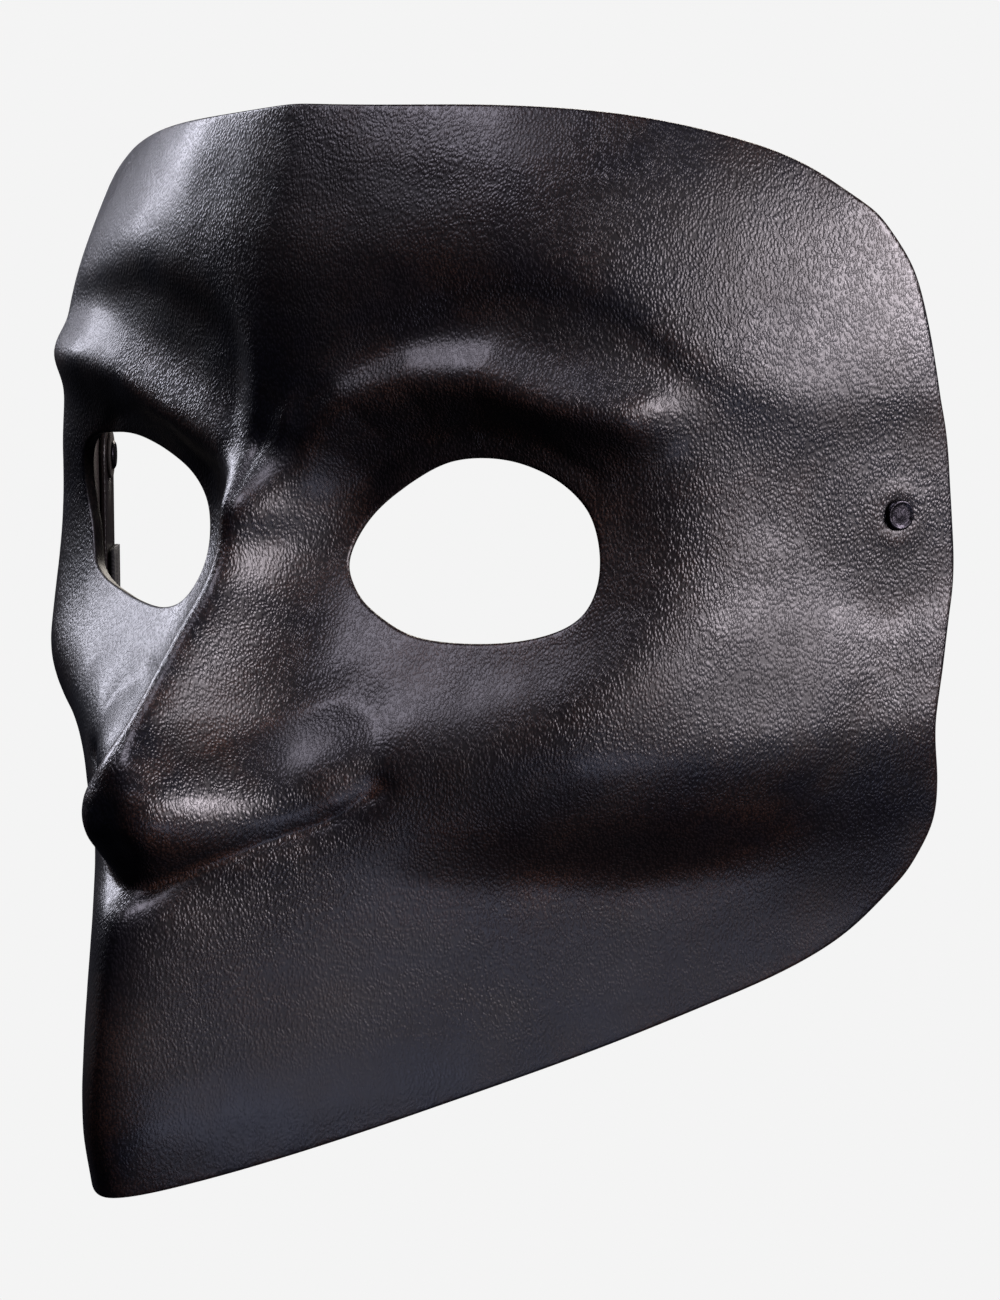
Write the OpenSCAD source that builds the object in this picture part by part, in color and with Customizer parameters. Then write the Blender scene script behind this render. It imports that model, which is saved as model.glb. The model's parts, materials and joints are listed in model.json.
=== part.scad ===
// Moulded leather half-prow face mask with riveted strap tabs and a sewn elastic.
// Frame: millimetres, +Z up, the face looks along -Y, +X is the wearer's left.
// Origin: middle of the open back, on the eye line, level with the rear edges.

/* [Mask shell] */
// Width across the rear edges
mask_w = 185; // [175:1:195]
// Height from the chin point to the top edge
mask_h = 177; // [168:1:186]
// Depth from the open back to the chin's front
mask_d = 122; // [115:1:129]
// Thickness of the leather
leather_t = 2.5; // [2:0.1:3]

/* [Eye holes] */
// Width of the left eye hole
eye_w = 38.6; // [36:0.2:40]
// Height of the left eye hole
eye_h = 29.8; // [27:0.2:31]

/* [Rivets] */
// Distance of each rivet from the middle plane
rivet_x = 87; // [86.5:0.1:87.5]
// Height of the rivets
rivet_z = 1.5; // [0:0.1:3]
// Diameter of a rivet's cap and of its inner head
rivet_d = 5.5; // [5:0.1:6]
// Diameter of a rivet's post
post_d = 2.5; // [2:0.1:3]
// Height of the cap's dome
cap_h = 1; // [0.8:0.1:1.4]
// Outer diameter of the washer
washer_d = 9; // [7:0.1:10]
// Thickness of the washer
washer_t = 0.5; // [0.4:0.1:0.8]

/* [Strap tabs] */
// Length of a tab from its rivet to its lower end
tab_l = 30; // [28:1:34]
// Width of a tab
tab_w = 14; // [12:0.5:15]
// Thickness of a tab
tab_t = 1; // [0.8:0.1:1.2]
// Radial play between a tab's hole and the rivet's post
tab_play = 0.05; // [0.02:0.01:0.1]
// Play between a tab and the leather
tab_gap = 0.3; // [0.25:0.05:0.4]
// Play between a tab and its washer
washer_gap = 0.1; // [0.1:0.05:0.2]

/* [Elastic] */
// Width of the elastic
elastic_w = 10; // [8:0.5:12]
// Thickness of the elastic
elastic_t = 1; // [0.8:0.1:1.2]
// Length of elastic that is sewn to a tab
sewn_l = 12; // [10:1:14]
// Length of the sewn overlap at the middle
overlap_l = 16; // [12:1:20]
// Depth of the hanging elastic below the origin
sag = 90; // [84:1:94]

/* [Hidden] */
$fn = 48;

black_leather = "#1d191c";
tab_leather = "#211c1a";
gunmetal = "#3d3d42";
fibre = "#2b2724";
black_elastic = "#161618";
waxed_thread = "#2a2622";

// The shape below is drawn at these sizes, and stretched to the ones above.
drawn_w = 185;
drawn_h = 177;
drawn_d = 122;
stretch = [mask_w / drawn_w, mask_d / drawn_d, mask_h / drawn_h];

// Level sections of the face, each at a height z:
// [z, depth at the middle, slope of the front, where it folds, slope of the side, softness of the fold]
SECTIONS = [
    [-116, 115.0, 1.56, 56, 1.40, 8], [-105, 119.5, 1.58, 56, 1.40, 8],
    [-91, 122.0, 1.60, 56, 1.40, 8], [-70, 118.6, 1.54, 56, 1.37, 8],
    [-58, 115.0, 1.42, 58, 1.38, 8], [-46, 105.0, 1.05, 61, 1.67, 6],
    [-33, 93.0, 0.80, 62, 1.73, 6], [-9, 74.5, 0.47, 61, 1.72, 5],
    [7.5, 72.5, 0.45, 61, 1.72, 5], [23, 73.5, 0.44, 61, 1.72, 5.5],
    [46, 71.5, 0.41, 57, 1.62, 9], [61, 67.0, 0.40, 53, 1.50, 10.5],
    [73, 62.0, 0.44, 50, 1.50, 12], [88, 54.0, 0.50, 47, 1.50, 12]];
// [z, radius of the ridge at the middle]
RIDGE = [[-116, 5], [-91, 5], [-70, 6], [-58, 7], [-46, 10], [-33, 15], [88, 13]];
// [z, height of the nose above the face, its half width]
NOSE = [
    [-60, 0, 10], [-54, 0, 11], [-50, 3.5, 11], [-46, 9.5, 10.5], [-42, 15, 10], [-38, 19.5, 9],
    [-33, 22.5, 8.5], [-24, 21, 8], [-15, 19, 7.5], [-8, 15.5, 7], [0, 11, 6.5], [7, 5, 6],
    [14, 0, 6], [20, 0, 6]];
// [x, height of the line where the forehead steps down to the brow]
// The two halves differ a little, as a hand-moulded face does.
LEFT_BROW_LINE = [[0, 13], [5, 17], [10, 24], [20, 33], [32, 40], [45, 41.5], [56, 37], [66, 27], [100, 0]];
RIGHT_BROW_LINE = [[0, 25], [3, 30], [7.5, 34], [14, 37.5], [30, 41], [42, 40.5], [61, 36.5], [70, 30], [100, 5]];
// Lines drawn on one half of the face: [points, half width, height]
STROKES = [
    // wing of the nose, and the creases above and below it
    [[[6, -45], [13, -41], [21, -37]], 7, 3.8],
    [[[2, -40], [6.5, -33], [14, -27.5], [21, -25.5], [26, -28.5], [28.5, -34], [29, -39]], 3.5, -1.2],
    [[[0, -55], [5, -54], [10, -51], [16, -48], [21, -46.5], [26, -44], [29, -40]], 2.2, -2],
    // rim of the socket, along the temple and the cheekbone
    [[[67.5, 7], [68.5, -5], [67, -15], [61, -24], [52, -30], [40, -33], [32, -33]], 8, 2.2],
    // crease that parts the cheek from the flat border
    [[[86.5, -14], [87, -26], [83.5, -40], [75.5, -52.5], [66, -59.5], [55, -61], [46, -58]], 3.6, -1.2]];
// Crest of each brow
LEFT_BROW = [[[4, 6], [9.5, 16], [16, 22.5], [26, 26], [37, 26.5], [47, 23], [58, 20.5]], 5.5, 4.8];
RIGHT_BROW = [[[1, 7], [4, 10], [9, 13.5], [19, 17], [26, 19.5], [39.5, 24], [50, 25.5], [64, 26]], 5.5, 4.8];
// Round swellings and hollows on one half: [x, z, half width, half height, height]
SWELLINGS = [
    [42, -1, 22, 17, -4],   // eye socket
    [15, 2, 6, 12, -1.5],   // inner corner of the eye
    [60, -38, 22, 16, 2.5]]; // cheek
// The right temple is fuller and the right cheek slimmer.
RIGHT_SWELLINGS = [[64, 10, 14, 20, 3], [56, -43, 16, 11, -7]];
// How far the right top corner was pulled back in the moulding, where that starts and how far it takes
corner_pull = 8;
corner_start = [20, 32];
corner_run = [45, 38];
// Width of the middle strip where one half turns into the other
join_w = 12;

// Half outline of the mask, each side as [share of its length, x, z]
LEFT_TOP_EDGE = [
    [0, 0, 71.5], [0.4, 34, 71.3], [0.58, 48.5, 70.3], [0.75, 61.5, 67], [0.88, 73, 62], [1, 83, 53]];
RIGHT_TOP_EDGE = [
    [0, 0, 71.5], [0.15, 11, 70], [0.4, 31, 67.2], [0.58, 46, 64.6], [0.75, 60, 61], [0.88, 71, 56.5],
    [1, 80, 49.5]];
LEFT_SIDE_EDGE = [
    [0, 86.5, -62.5], [0.1, 90.5, -52], [0.25, 92.3, -35], [0.5, 92.5, -8], [0.75, 91.2, 22],
    [0.9, 88, 42], [1, 83, 53]];
RIGHT_SIDE_EDGE = [
    [0, 86.5, -62.5], [0.1, 90.5, -52], [0.25, 92.3, -35], [0.5, 92.5, -8], [0.75, 91, 19],
    [0.9, 87, 38], [1, 80, 49.5]];
CHIN_EDGE = [
    [0, 0, -105.3], [0.06, 6, -104.7], [0.2, 18, -101.5], [0.45, 41, -93], [0.7, 63, -83],
    [0.88, 77.5, -74], [1, 86.5, -62.5]];

// Outline of each eye hole as [x, z] on its own half; they are cut by hand, so the two differ a little
LEFT_HOLE = [
    [14.4, -4], [17, -9.4], [22.5, -13.7], [29, -16.5], [38, -17.3], [46, -16.3], [51.2, -13.5], [53, -8.5],
    [52.3, -2], [49.8, 4.6], [45, 9.6], [38, 12.5], [30, 12.2], [22.5, 8], [16.5, 2.6]];
RIGHT_HOLE = [
    [15.4, -8.5], [17.5, -13], [23, -15], [31, -15.1], [39, -14.3], [45.5, -13], [49.5, -11], [51.5, -8],
    [53.2, -4.5], [55.4, -0.5], [56.6, 4], [55.8, 8.3], [52.5, 11], [45.5, 12.3], [38, 12.2], [29.5, 10.5],
    [22.5, 7.8], [18.4, 3.5], [16.3, -2.5]];
drawn_eye_w = 38.6;
drawn_eye_h = 29.8;
eye_middle = [33.8, -2.4];
hole_steps = 4;

// The step from the forehead down to the brow: its height, and how far it fades along and across
step_h = 3.2;
step_edge = 1.8;
step_fade_z = 6;
step_fade_x = 4;
step_reach = 72;
step_bottom = -2;
step_start = 8;

// Flat land around each rivet, where the tab swings
land_slope = 1.7;
land_depth = 7;
land_in = 10;
land_out = 22;

columns = 20;
rows = 38;

// Smooth curve through a table's rows, in column c
function row_of(t, v, i = 0) = i >= len(t) - 2 || v < t[i + 1][0] ? i : row_of(t, v, i + 1);
function tangent(t, i, c) =
    let(a = max(i - 1, 0), b = min(i + 1, len(t) - 1)) (t[b][c] - t[a][c]) / (t[b][0] - t[a][0]);
function smooth(t, v, c = 1) =
    let(i = row_of(t, v), h = t[i + 1][0] - t[i][0], u = max(0, min(1, (v - t[i][0]) / h)))
    (2 * u ^ 3 - 3 * u ^ 2 + 1) * t[i][c] + (u ^ 3 - 2 * u ^ 2 + u) * h * tangent(t, i, c)
    + (3 * u ^ 2 - 2 * u ^ 3) * t[i + 1][c] + (u ^ 3 - u ^ 2) * h * tangent(t, i + 1, c);

function rise(v) = 1 / (1 + exp(-v));
function soft_fold(v) = ln(1 + exp(v));
function ease(v) = let(u = max(0, min(1, v))) u * u * (3 - 2 * u);

// Depth of the plain face in front of the open back
function plain_depth(x, z) =
    let(ridge = smooth(RIDGE, z), r = sqrt(x * x + ridge * ridge) - ridge,
        front = smooth(SECTIONS, z, 2), fold = smooth(SECTIONS, z, 3),
        side = smooth(SECTIONS, z, 4), soft = smooth(SECTIONS, z, 5))
    smooth(SECTIONS, z, 1) - front * r
    - (side - front) * soft * (soft_fold((x - fold) / soft) - soft_fold(-fold / soft));

function gap2(p, a, b) =
    let(d = b - a, t = max(0, min(1, (p - a) * d / (d * d))), q = p - a - t * d) q * q;
function stroke(p, s) =
    s[2] * exp(-min([for (i = [0 : len(s[0]) - 2]) gap2(p, s[0][i], s[0][i + 1])]) / s[1] ^ 2);
function swelling(x, z, s) = s[4] * exp(-((x - s[0]) / s[2]) ^ 2 - ((z - s[1]) / s[3]) ^ 2);
function total(list, i = 0) = i >= len(list) ? 0 : list[i] + total(list, i + 1);

function nose(x, z) = smooth(NOSE, z) * exp(-(x / smooth(NOSE, z, 2)) ^ 2);
function brow_step(x, z, line) =
    -step_h * rise((smooth(line, x) - z) / step_edge) * rise((z - step_bottom) / step_fade_z)
    * rise((step_reach - x) / step_fade_x) * ease(x / step_start);
function features(x, z, left) =
    let(swellings = left ? SWELLINGS : concat(SWELLINGS, RIGHT_SWELLINGS),
        pull = left ? 0 : corner_pull * ease((x - corner_start[0]) / corner_run[0])
            * ease((z - corner_start[1]) / corner_run[1]))
    nose(x, z) + brow_step(x, z, left ? LEFT_BROW_LINE : RIGHT_BROW_LINE) - pull
    + total([for (s = concat(STROKES, [left ? LEFT_BROW : RIGHT_BROW])) stroke([x, z], s)])
    + total([for (s = swellings) swelling(x, z, s)]);

// Depth of one half's finished face, flat around the rivet
function half_depth(x, z, left) =
    let(r = norm([(x - rivet_x) * norm([1, land_slope]), z - rivet_z]),
        flat = 1 - ease((r - land_in) / (land_out - land_in)))
    flat * (land_depth - land_slope * (x - rivet_x))
    + (1 - flat) * (plain_depth(x, z) + features(x, z, left));
function depth(x, z) =
    let(w = ease(x / join_w + 0.5), a = abs(x))
    (w > 0 ? w * half_depth(a, z, true) : 0) + (w < 1 ? (1 - w) * half_depth(a, z, false) : 0);

// A point of the outline's patch: s runs from the middle to the side, v from chin to top
function edge_point(t, v) = [smooth(t, v, 1), smooth(t, v, 2)];
function patch(s, v, top, side) =
    let(low = edge_point(CHIN_EDGE, s), high = edge_point(top, s), out = edge_point(side, v),
        low0 = edge_point(CHIN_EDGE, 0), high0 = edge_point(top, 0),
        low1 = edge_point(CHIN_EDGE, 1), high1 = edge_point(top, 1),
        mid = (1 - v) * low0 + v * high0)
    (1 - v) * low + v * high + (1 - s) * mid + s * out
    - (1 - s) * (1 - v) * low0 - s * (1 - v) * low1 - (1 - s) * v * high0 - s * v * high1;

function surface_point(s, v) =
    let(left = s >= 0, p = patch(abs(s), v, left ? LEFT_TOP_EDGE : RIGHT_TOP_EDGE,
            left ? LEFT_SIDE_EDGE : RIGHT_SIDE_EDGE),
        x = left ? p[0] : -p[0])
    [x * stretch[0], -depth(x, p[1]) * stretch[1], p[1] * stretch[2]];

across = 2 * columns + 1;
outer = [for (j = [0 : rows]) [for (i = [-columns : columns]) surface_point(i / columns, j / rows)]];
function unit(v) = v / norm(v);
function inward(j, i) =
    let(a = outer[j][max(i - 1, 0)], b = outer[j][min(i + 1, across - 1)],
        c = outer[max(j - 1, 0)][i], d = outer[min(j + 1, rows)][i]) unit(cross(d - c, b - a));
inner = [for (j = [0 : rows]) [for (i = [0 : across - 1]) outer[j][i] + leather_t * inward(j, i)]];

function at(j, i) = j * across + i;
sheet_points = concat([for (r = outer) each r], [for (r = inner) each r]);
back = (rows + 1) * across;
function skin(k, flip) = [for (j = [0 : rows - 1]) for (i = [0 : across - 2])
    let(a = k + at(j, i), b = k + at(j, i + 1), c = k + at(j + 1, i + 1), d = k + at(j + 1, i),
        slant = i < columns)
    each (slant ? (flip ? [[a, d, b], [b, d, c]] : [[a, b, d], [b, c, d]])
                : (flip ? [[a, d, c], [a, c, b]] : [[a, c, d], [a, b, c]]))];
function rim(path) = [for (k = [0 : len(path) - 2])
    let(a = path[k], b = path[k + 1]) each [[a, a + back, b], [b, a + back, b + back]]];
rim_path = concat([for (i = [0 : across - 1]) at(0, i)], [for (j = [1 : rows]) at(j, across - 1)],
    [for (i = [across - 2 : -1 : 0]) at(rows, i)], [for (j = [rows - 1 : -1 : 0]) at(j, 0)]);
sheet_faces = concat(skin(0, true), skin(back, false), rim(rim_path));

// Places along a rivet, counted outwards from the leather's outer face
tab_top = -leather_t - tab_gap;
tab_bottom = tab_top - tab_t;
washer_top = tab_bottom - washer_gap;
head_top = washer_top - washer_t;
head_h = 0.7;
socket_depth = 0.6;
cap_lip = 0.4;
rim_share = 0.86;
bore_play = 0.15;

rivet_place = [rivet_x * stretch[0], -land_depth * stretch[1], rivet_z * stretch[2]];
rivet_turn = atan(land_slope * stretch[1] / stretch[0]);

module at_rivet(side) {
    mirror([side < 0 ? 1 : 0, 0, 0]) translate(rivet_place) rotate([90, 0, rivet_turn]) children();
}

// Smooth closed curve through an outline's points
function closed_curve(p) = let(n = len(p)) [for (i = [0 : n - 1]) for (k = [0 : hole_steps - 1])
    let(a = p[(i + n - 1) % n], b = p[i], c = p[(i + 1) % n], d = p[(i + 2) % n], t = k / hole_steps)
    (2 * b + (c - a) * t + (2 * a - 5 * b + 4 * c - d) * t ^ 2 + (3 * b - a - 3 * c + d) * t ^ 3) / 2];

module eye_cutter(side) {
    grow = [eye_w / drawn_eye_w, eye_h / drawn_eye_h];
    outline = [for (p = closed_curve(side > 0 ? LEFT_HOLE : RIGHT_HOLE))
        let(q = eye_middle + [grow[0] * (p[0] - eye_middle[0]), grow[1] * (p[1] - eye_middle[1])])
        [side * q[0] * stretch[0], q[1] * stretch[2]]];
    rotate([90, 0, 0]) linear_extrude(height = mask_d) polygon(outline);
}

module mask_shell() {
    color(black_leather) difference() {
        polyhedron(points = sheet_points, faces = sheet_faces, convexity = 8);
        for (side = [-1, 1]) {
            eye_cutter(side);
            at_rivet(side) translate([0, 0, -2 * leather_t])
                cylinder(d = post_d + 2 * bore_play, h = 3 * leather_t);
        }
    }
}

// Domed outer cap with a blind socket for the post
module rivet_cap(side) {
    r = rivet_d / 2;
    color(gunmetal) at_rivet(side) rotate_extrude() polygon([
        [post_d / 2, 0], [r, 0], [r, cap_lip], [r * rim_share, cap_h * rim_share], [r / 2, cap_h],
        [0, cap_h], [0, socket_depth], [post_d / 2, socket_depth]]);
}

// Inner head with the post that goes out through washer, tab and leather
module rivet_post(side) {
    r = rivet_d / 2;
    color(gunmetal) at_rivet(side) rotate_extrude() polygon([
        [0, socket_depth], [post_d / 2, socket_depth], [post_d / 2, head_top], [r, head_top],
        [r, head_top - head_h / 2], [r * rim_share, head_top - head_h], [0, head_top - head_h]]);
}

module washer(side) {
    color(fibre) at_rivet(side) translate([0, 0, washer_top - washer_t]) difference() {
        cylinder(d = washer_d, h = washer_t);
        translate([0, 0, -washer_t]) cylinder(d = post_d + 2 * bore_play, h = 3 * washer_t);
    }
}

// Flat strip with a round head, hung on the rivet's post
module tab(side) {
    corner = 2.5;
    color(tab_leather) at_rivet(side) translate([0, 0, tab_bottom]) linear_extrude(height = tab_t)
    difference() {
        union() {
            circle(d = tab_w);
            translate([-tab_w / 2, corner - tab_l]) square([tab_w, tab_l - corner]);
            translate([corner - tab_w / 2, -tab_l]) square([tab_w - 2 * corner, corner]);
            for (x = [corner - tab_w / 2, tab_w / 2 - corner])
                translate([x, corner - tab_l]) circle(r = corner);
        }
        circle(d = post_d + 2 * tab_play);
    }
}

stitch_l = 1.8;
stitch_pitch = 2.5;
stitch_t = 0.3;
stitch_w = 0.6;
box_inset = 1.5;
bar_l = 3;
bar_pitch = 1.6;

// A box of stitches on the outer face of a tab, over the sewn end of the elastic
module tab_stitching(side) {
    half = elastic_w / 2 - box_inset;
    box_l = sewn_l - 2 * box_inset;
    count = floor(box_l / stitch_pitch);
    first = (box_l - (count - 1) * stitch_pitch - stitch_l) / 2;
    color(waxed_thread) at_rivet(side) translate([0, box_inset - tab_l, tab_top]) {
        for (x = [-half, half], k = [0 : count - 1])
            translate([x - stitch_w / 2, first + k * stitch_pitch, 0]) cube([stitch_w, stitch_l, stitch_t]);
        for (y = [0, box_l], k = [-1, 0, 1])
            translate([k * stitch_pitch - stitch_l / 2, y - stitch_w / 2, 0])
                cube([stitch_l, stitch_w, stitch_t]);
    }
}

// Middle line of one half of the elastic: down the tab, then round to the middle of the back
elastic_gap = 0.25;
elastic_face = tab_bottom - elastic_gap - elastic_t / 2;
out_dir = [sin(rivet_turn), -cos(rivet_turn), 0];
wide_dir = [cos(rivet_turn), sin(rivet_turn), 0];
sewn_top = rivet_place + elastic_face * out_dir - [0, 0, tab_l - sewn_l];
sewn_end = sewn_top - [0, 0, sewn_l];
strap_y = 2;
drop = 32;
reach = 38;
function curve(a, b, c, d, t) =
    (1 - t) ^ 3 * a + 3 * (1 - t) ^ 2 * t * b + 3 * (1 - t) * t ^ 2 * c + t ^ 3 * d;
hang_steps = 22;
function hang_line(lift) =
    let(a = sewn_end, b = a - [0, 0, drop], d = [overlap_l / 2, strap_y, -sag + lift], c = d + [reach, 0, 0])
    [for (k = [1 : hang_steps]) curve(a, b, c, d, k / hang_steps)];
function elastic_line(lift) = concat([sewn_top, sewn_top - [0, 0, sewn_l / 2], sewn_end], hang_line(lift),
    [[0, strap_y, -sag + lift], [-overlap_l / 2, strap_y, -sag + lift]]);

// A flat band swept along a line, its width turning from the tab's plane to the front-to-back line
module band(line) {
    last = len(line) - 1;
    points = [for (k = [0 : last])
        let(t = unit(line[min(k + 1, last)] - line[max(k - 1, 0)]),
            want = wide_dir + ease((k - 2) / (last - 6)) * ([0, 1, 0] - wide_dir),
            w = unit(want - (want * t) * t), n = cross(t, w))
        each [for (q = [[-1, -1], [1, -1], [1, 1], [-1, 1]])
            line[k] + q[0] * elastic_w / 2 * w + q[1] * elastic_t / 2 * n]];
    faces = concat([[0, 1, 2], [0, 2, 3]],
        [for (k = [0 : last - 1]) for (q = [0 : 3])
            let(a = 4 * k + q, b = 4 * k + (q + 1) % 4) each [[a, a + 4, b], [b, a + 4, b + 4]]],
        [[4 * last, 4 * last + 2, 4 * last + 1], [4 * last, 4 * last + 3, 4 * last + 2]]);
    polyhedron(points = points, faces = faces);
}

// The right half lies on the left one at the middle
lap_gap = 0.05;
module elastic_half(side) {
    lift = side < 0 ? elastic_t + lap_gap : 0;
    color(black_elastic) mirror([side < 0 ? 1 : 0, 0, 0]) band(elastic_line(lift));
}

// Two rows of bar tacks through both halves
module centre_stitching() {
    bar_h = 2 * elastic_t + lap_gap + 2 * stitch_t;
    row_x = overlap_l / 2 - bar_l;
    color(waxed_thread) for (x = [-row_x, row_x], k = [-2 : 2])
        translate([x - bar_l / 2, strap_y + k * bar_pitch - stitch_w / 2, -sag - elastic_t / 2 - stitch_t])
            cube([bar_l, stitch_w, bar_h]);
}

mask_shell();
rivet_cap(1);  // left_rivet_cap
rivet_cap(-1);  // right_rivet_cap
rivet_post(1);  // left_rivet_post
rivet_post(-1);  // right_rivet_post
washer(1);  // left_washer
washer(-1);  // right_washer
tab(1);  // left_tab
tab(-1);  // right_tab
tab_stitching(1);  // left_tab_stitching
tab_stitching(-1);  // right_tab_stitching
elastic_half(1);  // elastic_left
elastic_half(-1);  // elastic_right
centre_stitching();
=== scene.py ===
"""A hand-moulded leather half-prow mask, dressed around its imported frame."""
import json
import logging
import math
from dataclasses import dataclass
from enum import Enum

import bmesh
import bpy
import numpy as np
from mathutils import Matrix, Vector, geometry, kdtree, noise


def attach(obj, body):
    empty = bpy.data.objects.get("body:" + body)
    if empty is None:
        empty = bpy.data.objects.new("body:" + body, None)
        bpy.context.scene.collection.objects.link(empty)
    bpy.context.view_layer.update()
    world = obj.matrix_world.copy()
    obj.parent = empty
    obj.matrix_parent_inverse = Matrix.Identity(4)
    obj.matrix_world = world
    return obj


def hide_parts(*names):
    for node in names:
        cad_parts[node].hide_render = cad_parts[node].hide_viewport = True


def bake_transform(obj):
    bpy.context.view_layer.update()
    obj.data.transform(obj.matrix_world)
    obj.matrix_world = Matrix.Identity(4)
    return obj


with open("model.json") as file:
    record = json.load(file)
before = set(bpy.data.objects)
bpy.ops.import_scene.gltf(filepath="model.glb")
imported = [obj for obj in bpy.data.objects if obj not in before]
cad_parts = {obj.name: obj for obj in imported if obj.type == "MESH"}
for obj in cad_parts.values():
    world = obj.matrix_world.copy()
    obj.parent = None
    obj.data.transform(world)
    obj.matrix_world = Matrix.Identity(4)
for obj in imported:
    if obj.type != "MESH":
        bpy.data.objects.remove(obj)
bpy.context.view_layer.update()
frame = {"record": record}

MM = 0.001
Table = tuple[tuple[float, ...], ...]
Point2 = tuple[float, float]
log = logging.getLogger("mask")


class Side(Enum):
    """The wearer's side that a piece belongs to, with the sign of its X."""

    LEFT = 1
    RIGHT = -1

    @property
    def word(self) -> str:
        """The side's name as the pieces use it."""
        return self.name.lower()

    @property
    def body(self) -> str:
        """The CAD body of this side's strap tab."""
        return f"{self.word}_strap_tab"

    def joint(self) -> dict:
        """The record's joint of this side's strap tab."""
        joints = frame["record"]["behaviour"]["joints"]
        return next(j for j in joints if j["child"] == self.body)


class Seed(float, Enum):
    """What keeps one layer of unevenness unlike another."""

    EDGE = 3.0
    MOULDING = 7.0
    WEAR = 21.0
    COARSE = 31.0


# ---------------------------------------------------------------- numbers and curves

def ease(value: np.ndarray | float) -> np.ndarray | float:
    """Rises smoothly from 0 to 1 as value goes from 0 to 1."""
    share = np.clip(value, 0.0, 1.0)
    return share * share * (3 - 2 * share)


def smooth(table: Table, at: np.ndarray, column: int = 1) -> np.ndarray:
    """Reads a table along a smooth curve through its rows.

    Args:
        table: Rows whose first number is the key, in rising order.
        at: Keys to read at.
        column: Which number of each row is wanted.

    Returns:
        The values at those keys.
    """
    rows = np.array(table, float)
    key, value = rows[:, 0], rows[:, column]
    slope = np.gradient(value, key)
    slope[1:-1] = (value[2:] - value[:-2]) / (key[2:] - key[:-2])
    i = np.clip(np.searchsorted(key, at, side="right") - 1, 0, len(key) - 2)
    step = key[i + 1] - key[i]
    u = np.clip((at - key[i]) / step, 0, 1)
    return ((2 * u**3 - 3 * u**2 + 1) * value[i] + (u**3 - 2 * u**2 + u) * step * slope[i]
            + (3 * u**2 - 2 * u**3) * value[i + 1] + (u**3 - u**2) * step * slope[i + 1])


def closed_curve(points: tuple[Point2, ...], steps: int) -> np.ndarray:
    """Runs a smooth closed curve through a few points.

    Args:
        points: The outline's points in order.
        steps: How many points each span gets.

    Returns:
        The curve's points, one row each.
    """
    ring = np.array(points, float)
    before, after, beyond = np.roll(ring, 1, 0), np.roll(ring, -1, 0), np.roll(ring, -2, 0)
    spans = [(2 * ring + (after - before) * t + (2 * before - 5 * ring + 4 * after - beyond) * t**2
              + (3 * ring - before - 3 * after + beyond) * t**3) / 2
             for t in np.arange(steps) / steps]
    return np.stack(spans, 1).reshape(-1, 2)


def even_ring(ring: np.ndarray, pitch: float, soften: int) -> np.ndarray:
    """Spaces a closed outline evenly and softens its corners.

    Args:
        ring: The outline's points.
        pitch: Wanted distance between points.
        soften: How many passes of averaging are made.

    Returns:
        The new points, anticlockwise seen with the first axis right and the second up.
    """
    loop = np.vstack([ring, ring[:1]])
    run = np.concatenate([[0], np.cumsum(np.linalg.norm(np.diff(loop, axis=0), axis=1))])
    count = int(run[-1] / pitch)
    at = np.arange(count) * run[-1] / count
    even = np.stack([np.interp(at, run, loop[:, c]) for c in (0, 1)], 1)
    for _ in range(soften):
        even = (np.roll(even, 1, 0) + 2 * even + np.roll(even, -1, 0)) / 4
    turned = np.sum(even[:, 0] * np.roll(even[:, 1], -1) - np.roll(even[:, 0], -1) * even[:, 1])
    return even if turned > 0 else even[::-1]


def inside(ring: np.ndarray, x: np.ndarray, z: np.ndarray) -> np.ndarray:
    """Tells which points lie inside a closed outline.

    Args:
        ring: The outline's points.
        x: Places across, in mm.
        z: Places up, in mm.

    Returns:
        True for each point that lies inside.
    """
    result = np.zeros(x.shape, bool)
    for (x0, z0), (x1, z1) in zip(ring, np.roll(ring, -1, 0)):
        if z0 != z1:
            crosses = (z0 > z) != (z1 > z)
            result ^= crosses & (x < (x1 - x0) * (z - z0) / (z1 - z0) + x0)
    return result


def ripple(x: np.ndarray, z: np.ndarray, size: float, seed: float) -> np.ndarray:
    """Gives gentle unevenness over the face.

    Args:
        x: Places across, in mm.
        z: Places up, in mm.
        size: Typical width of one bump, in mm.
        seed: Keeps one layer unlike another.

    Returns:
        Values from about -1 to 1.
    """
    return np.array([noise.noise(Vector((a / size, seed, b / size))) for a, b in zip(x, z)])


# ---------------------------------------------------------------- the moulded form

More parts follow.
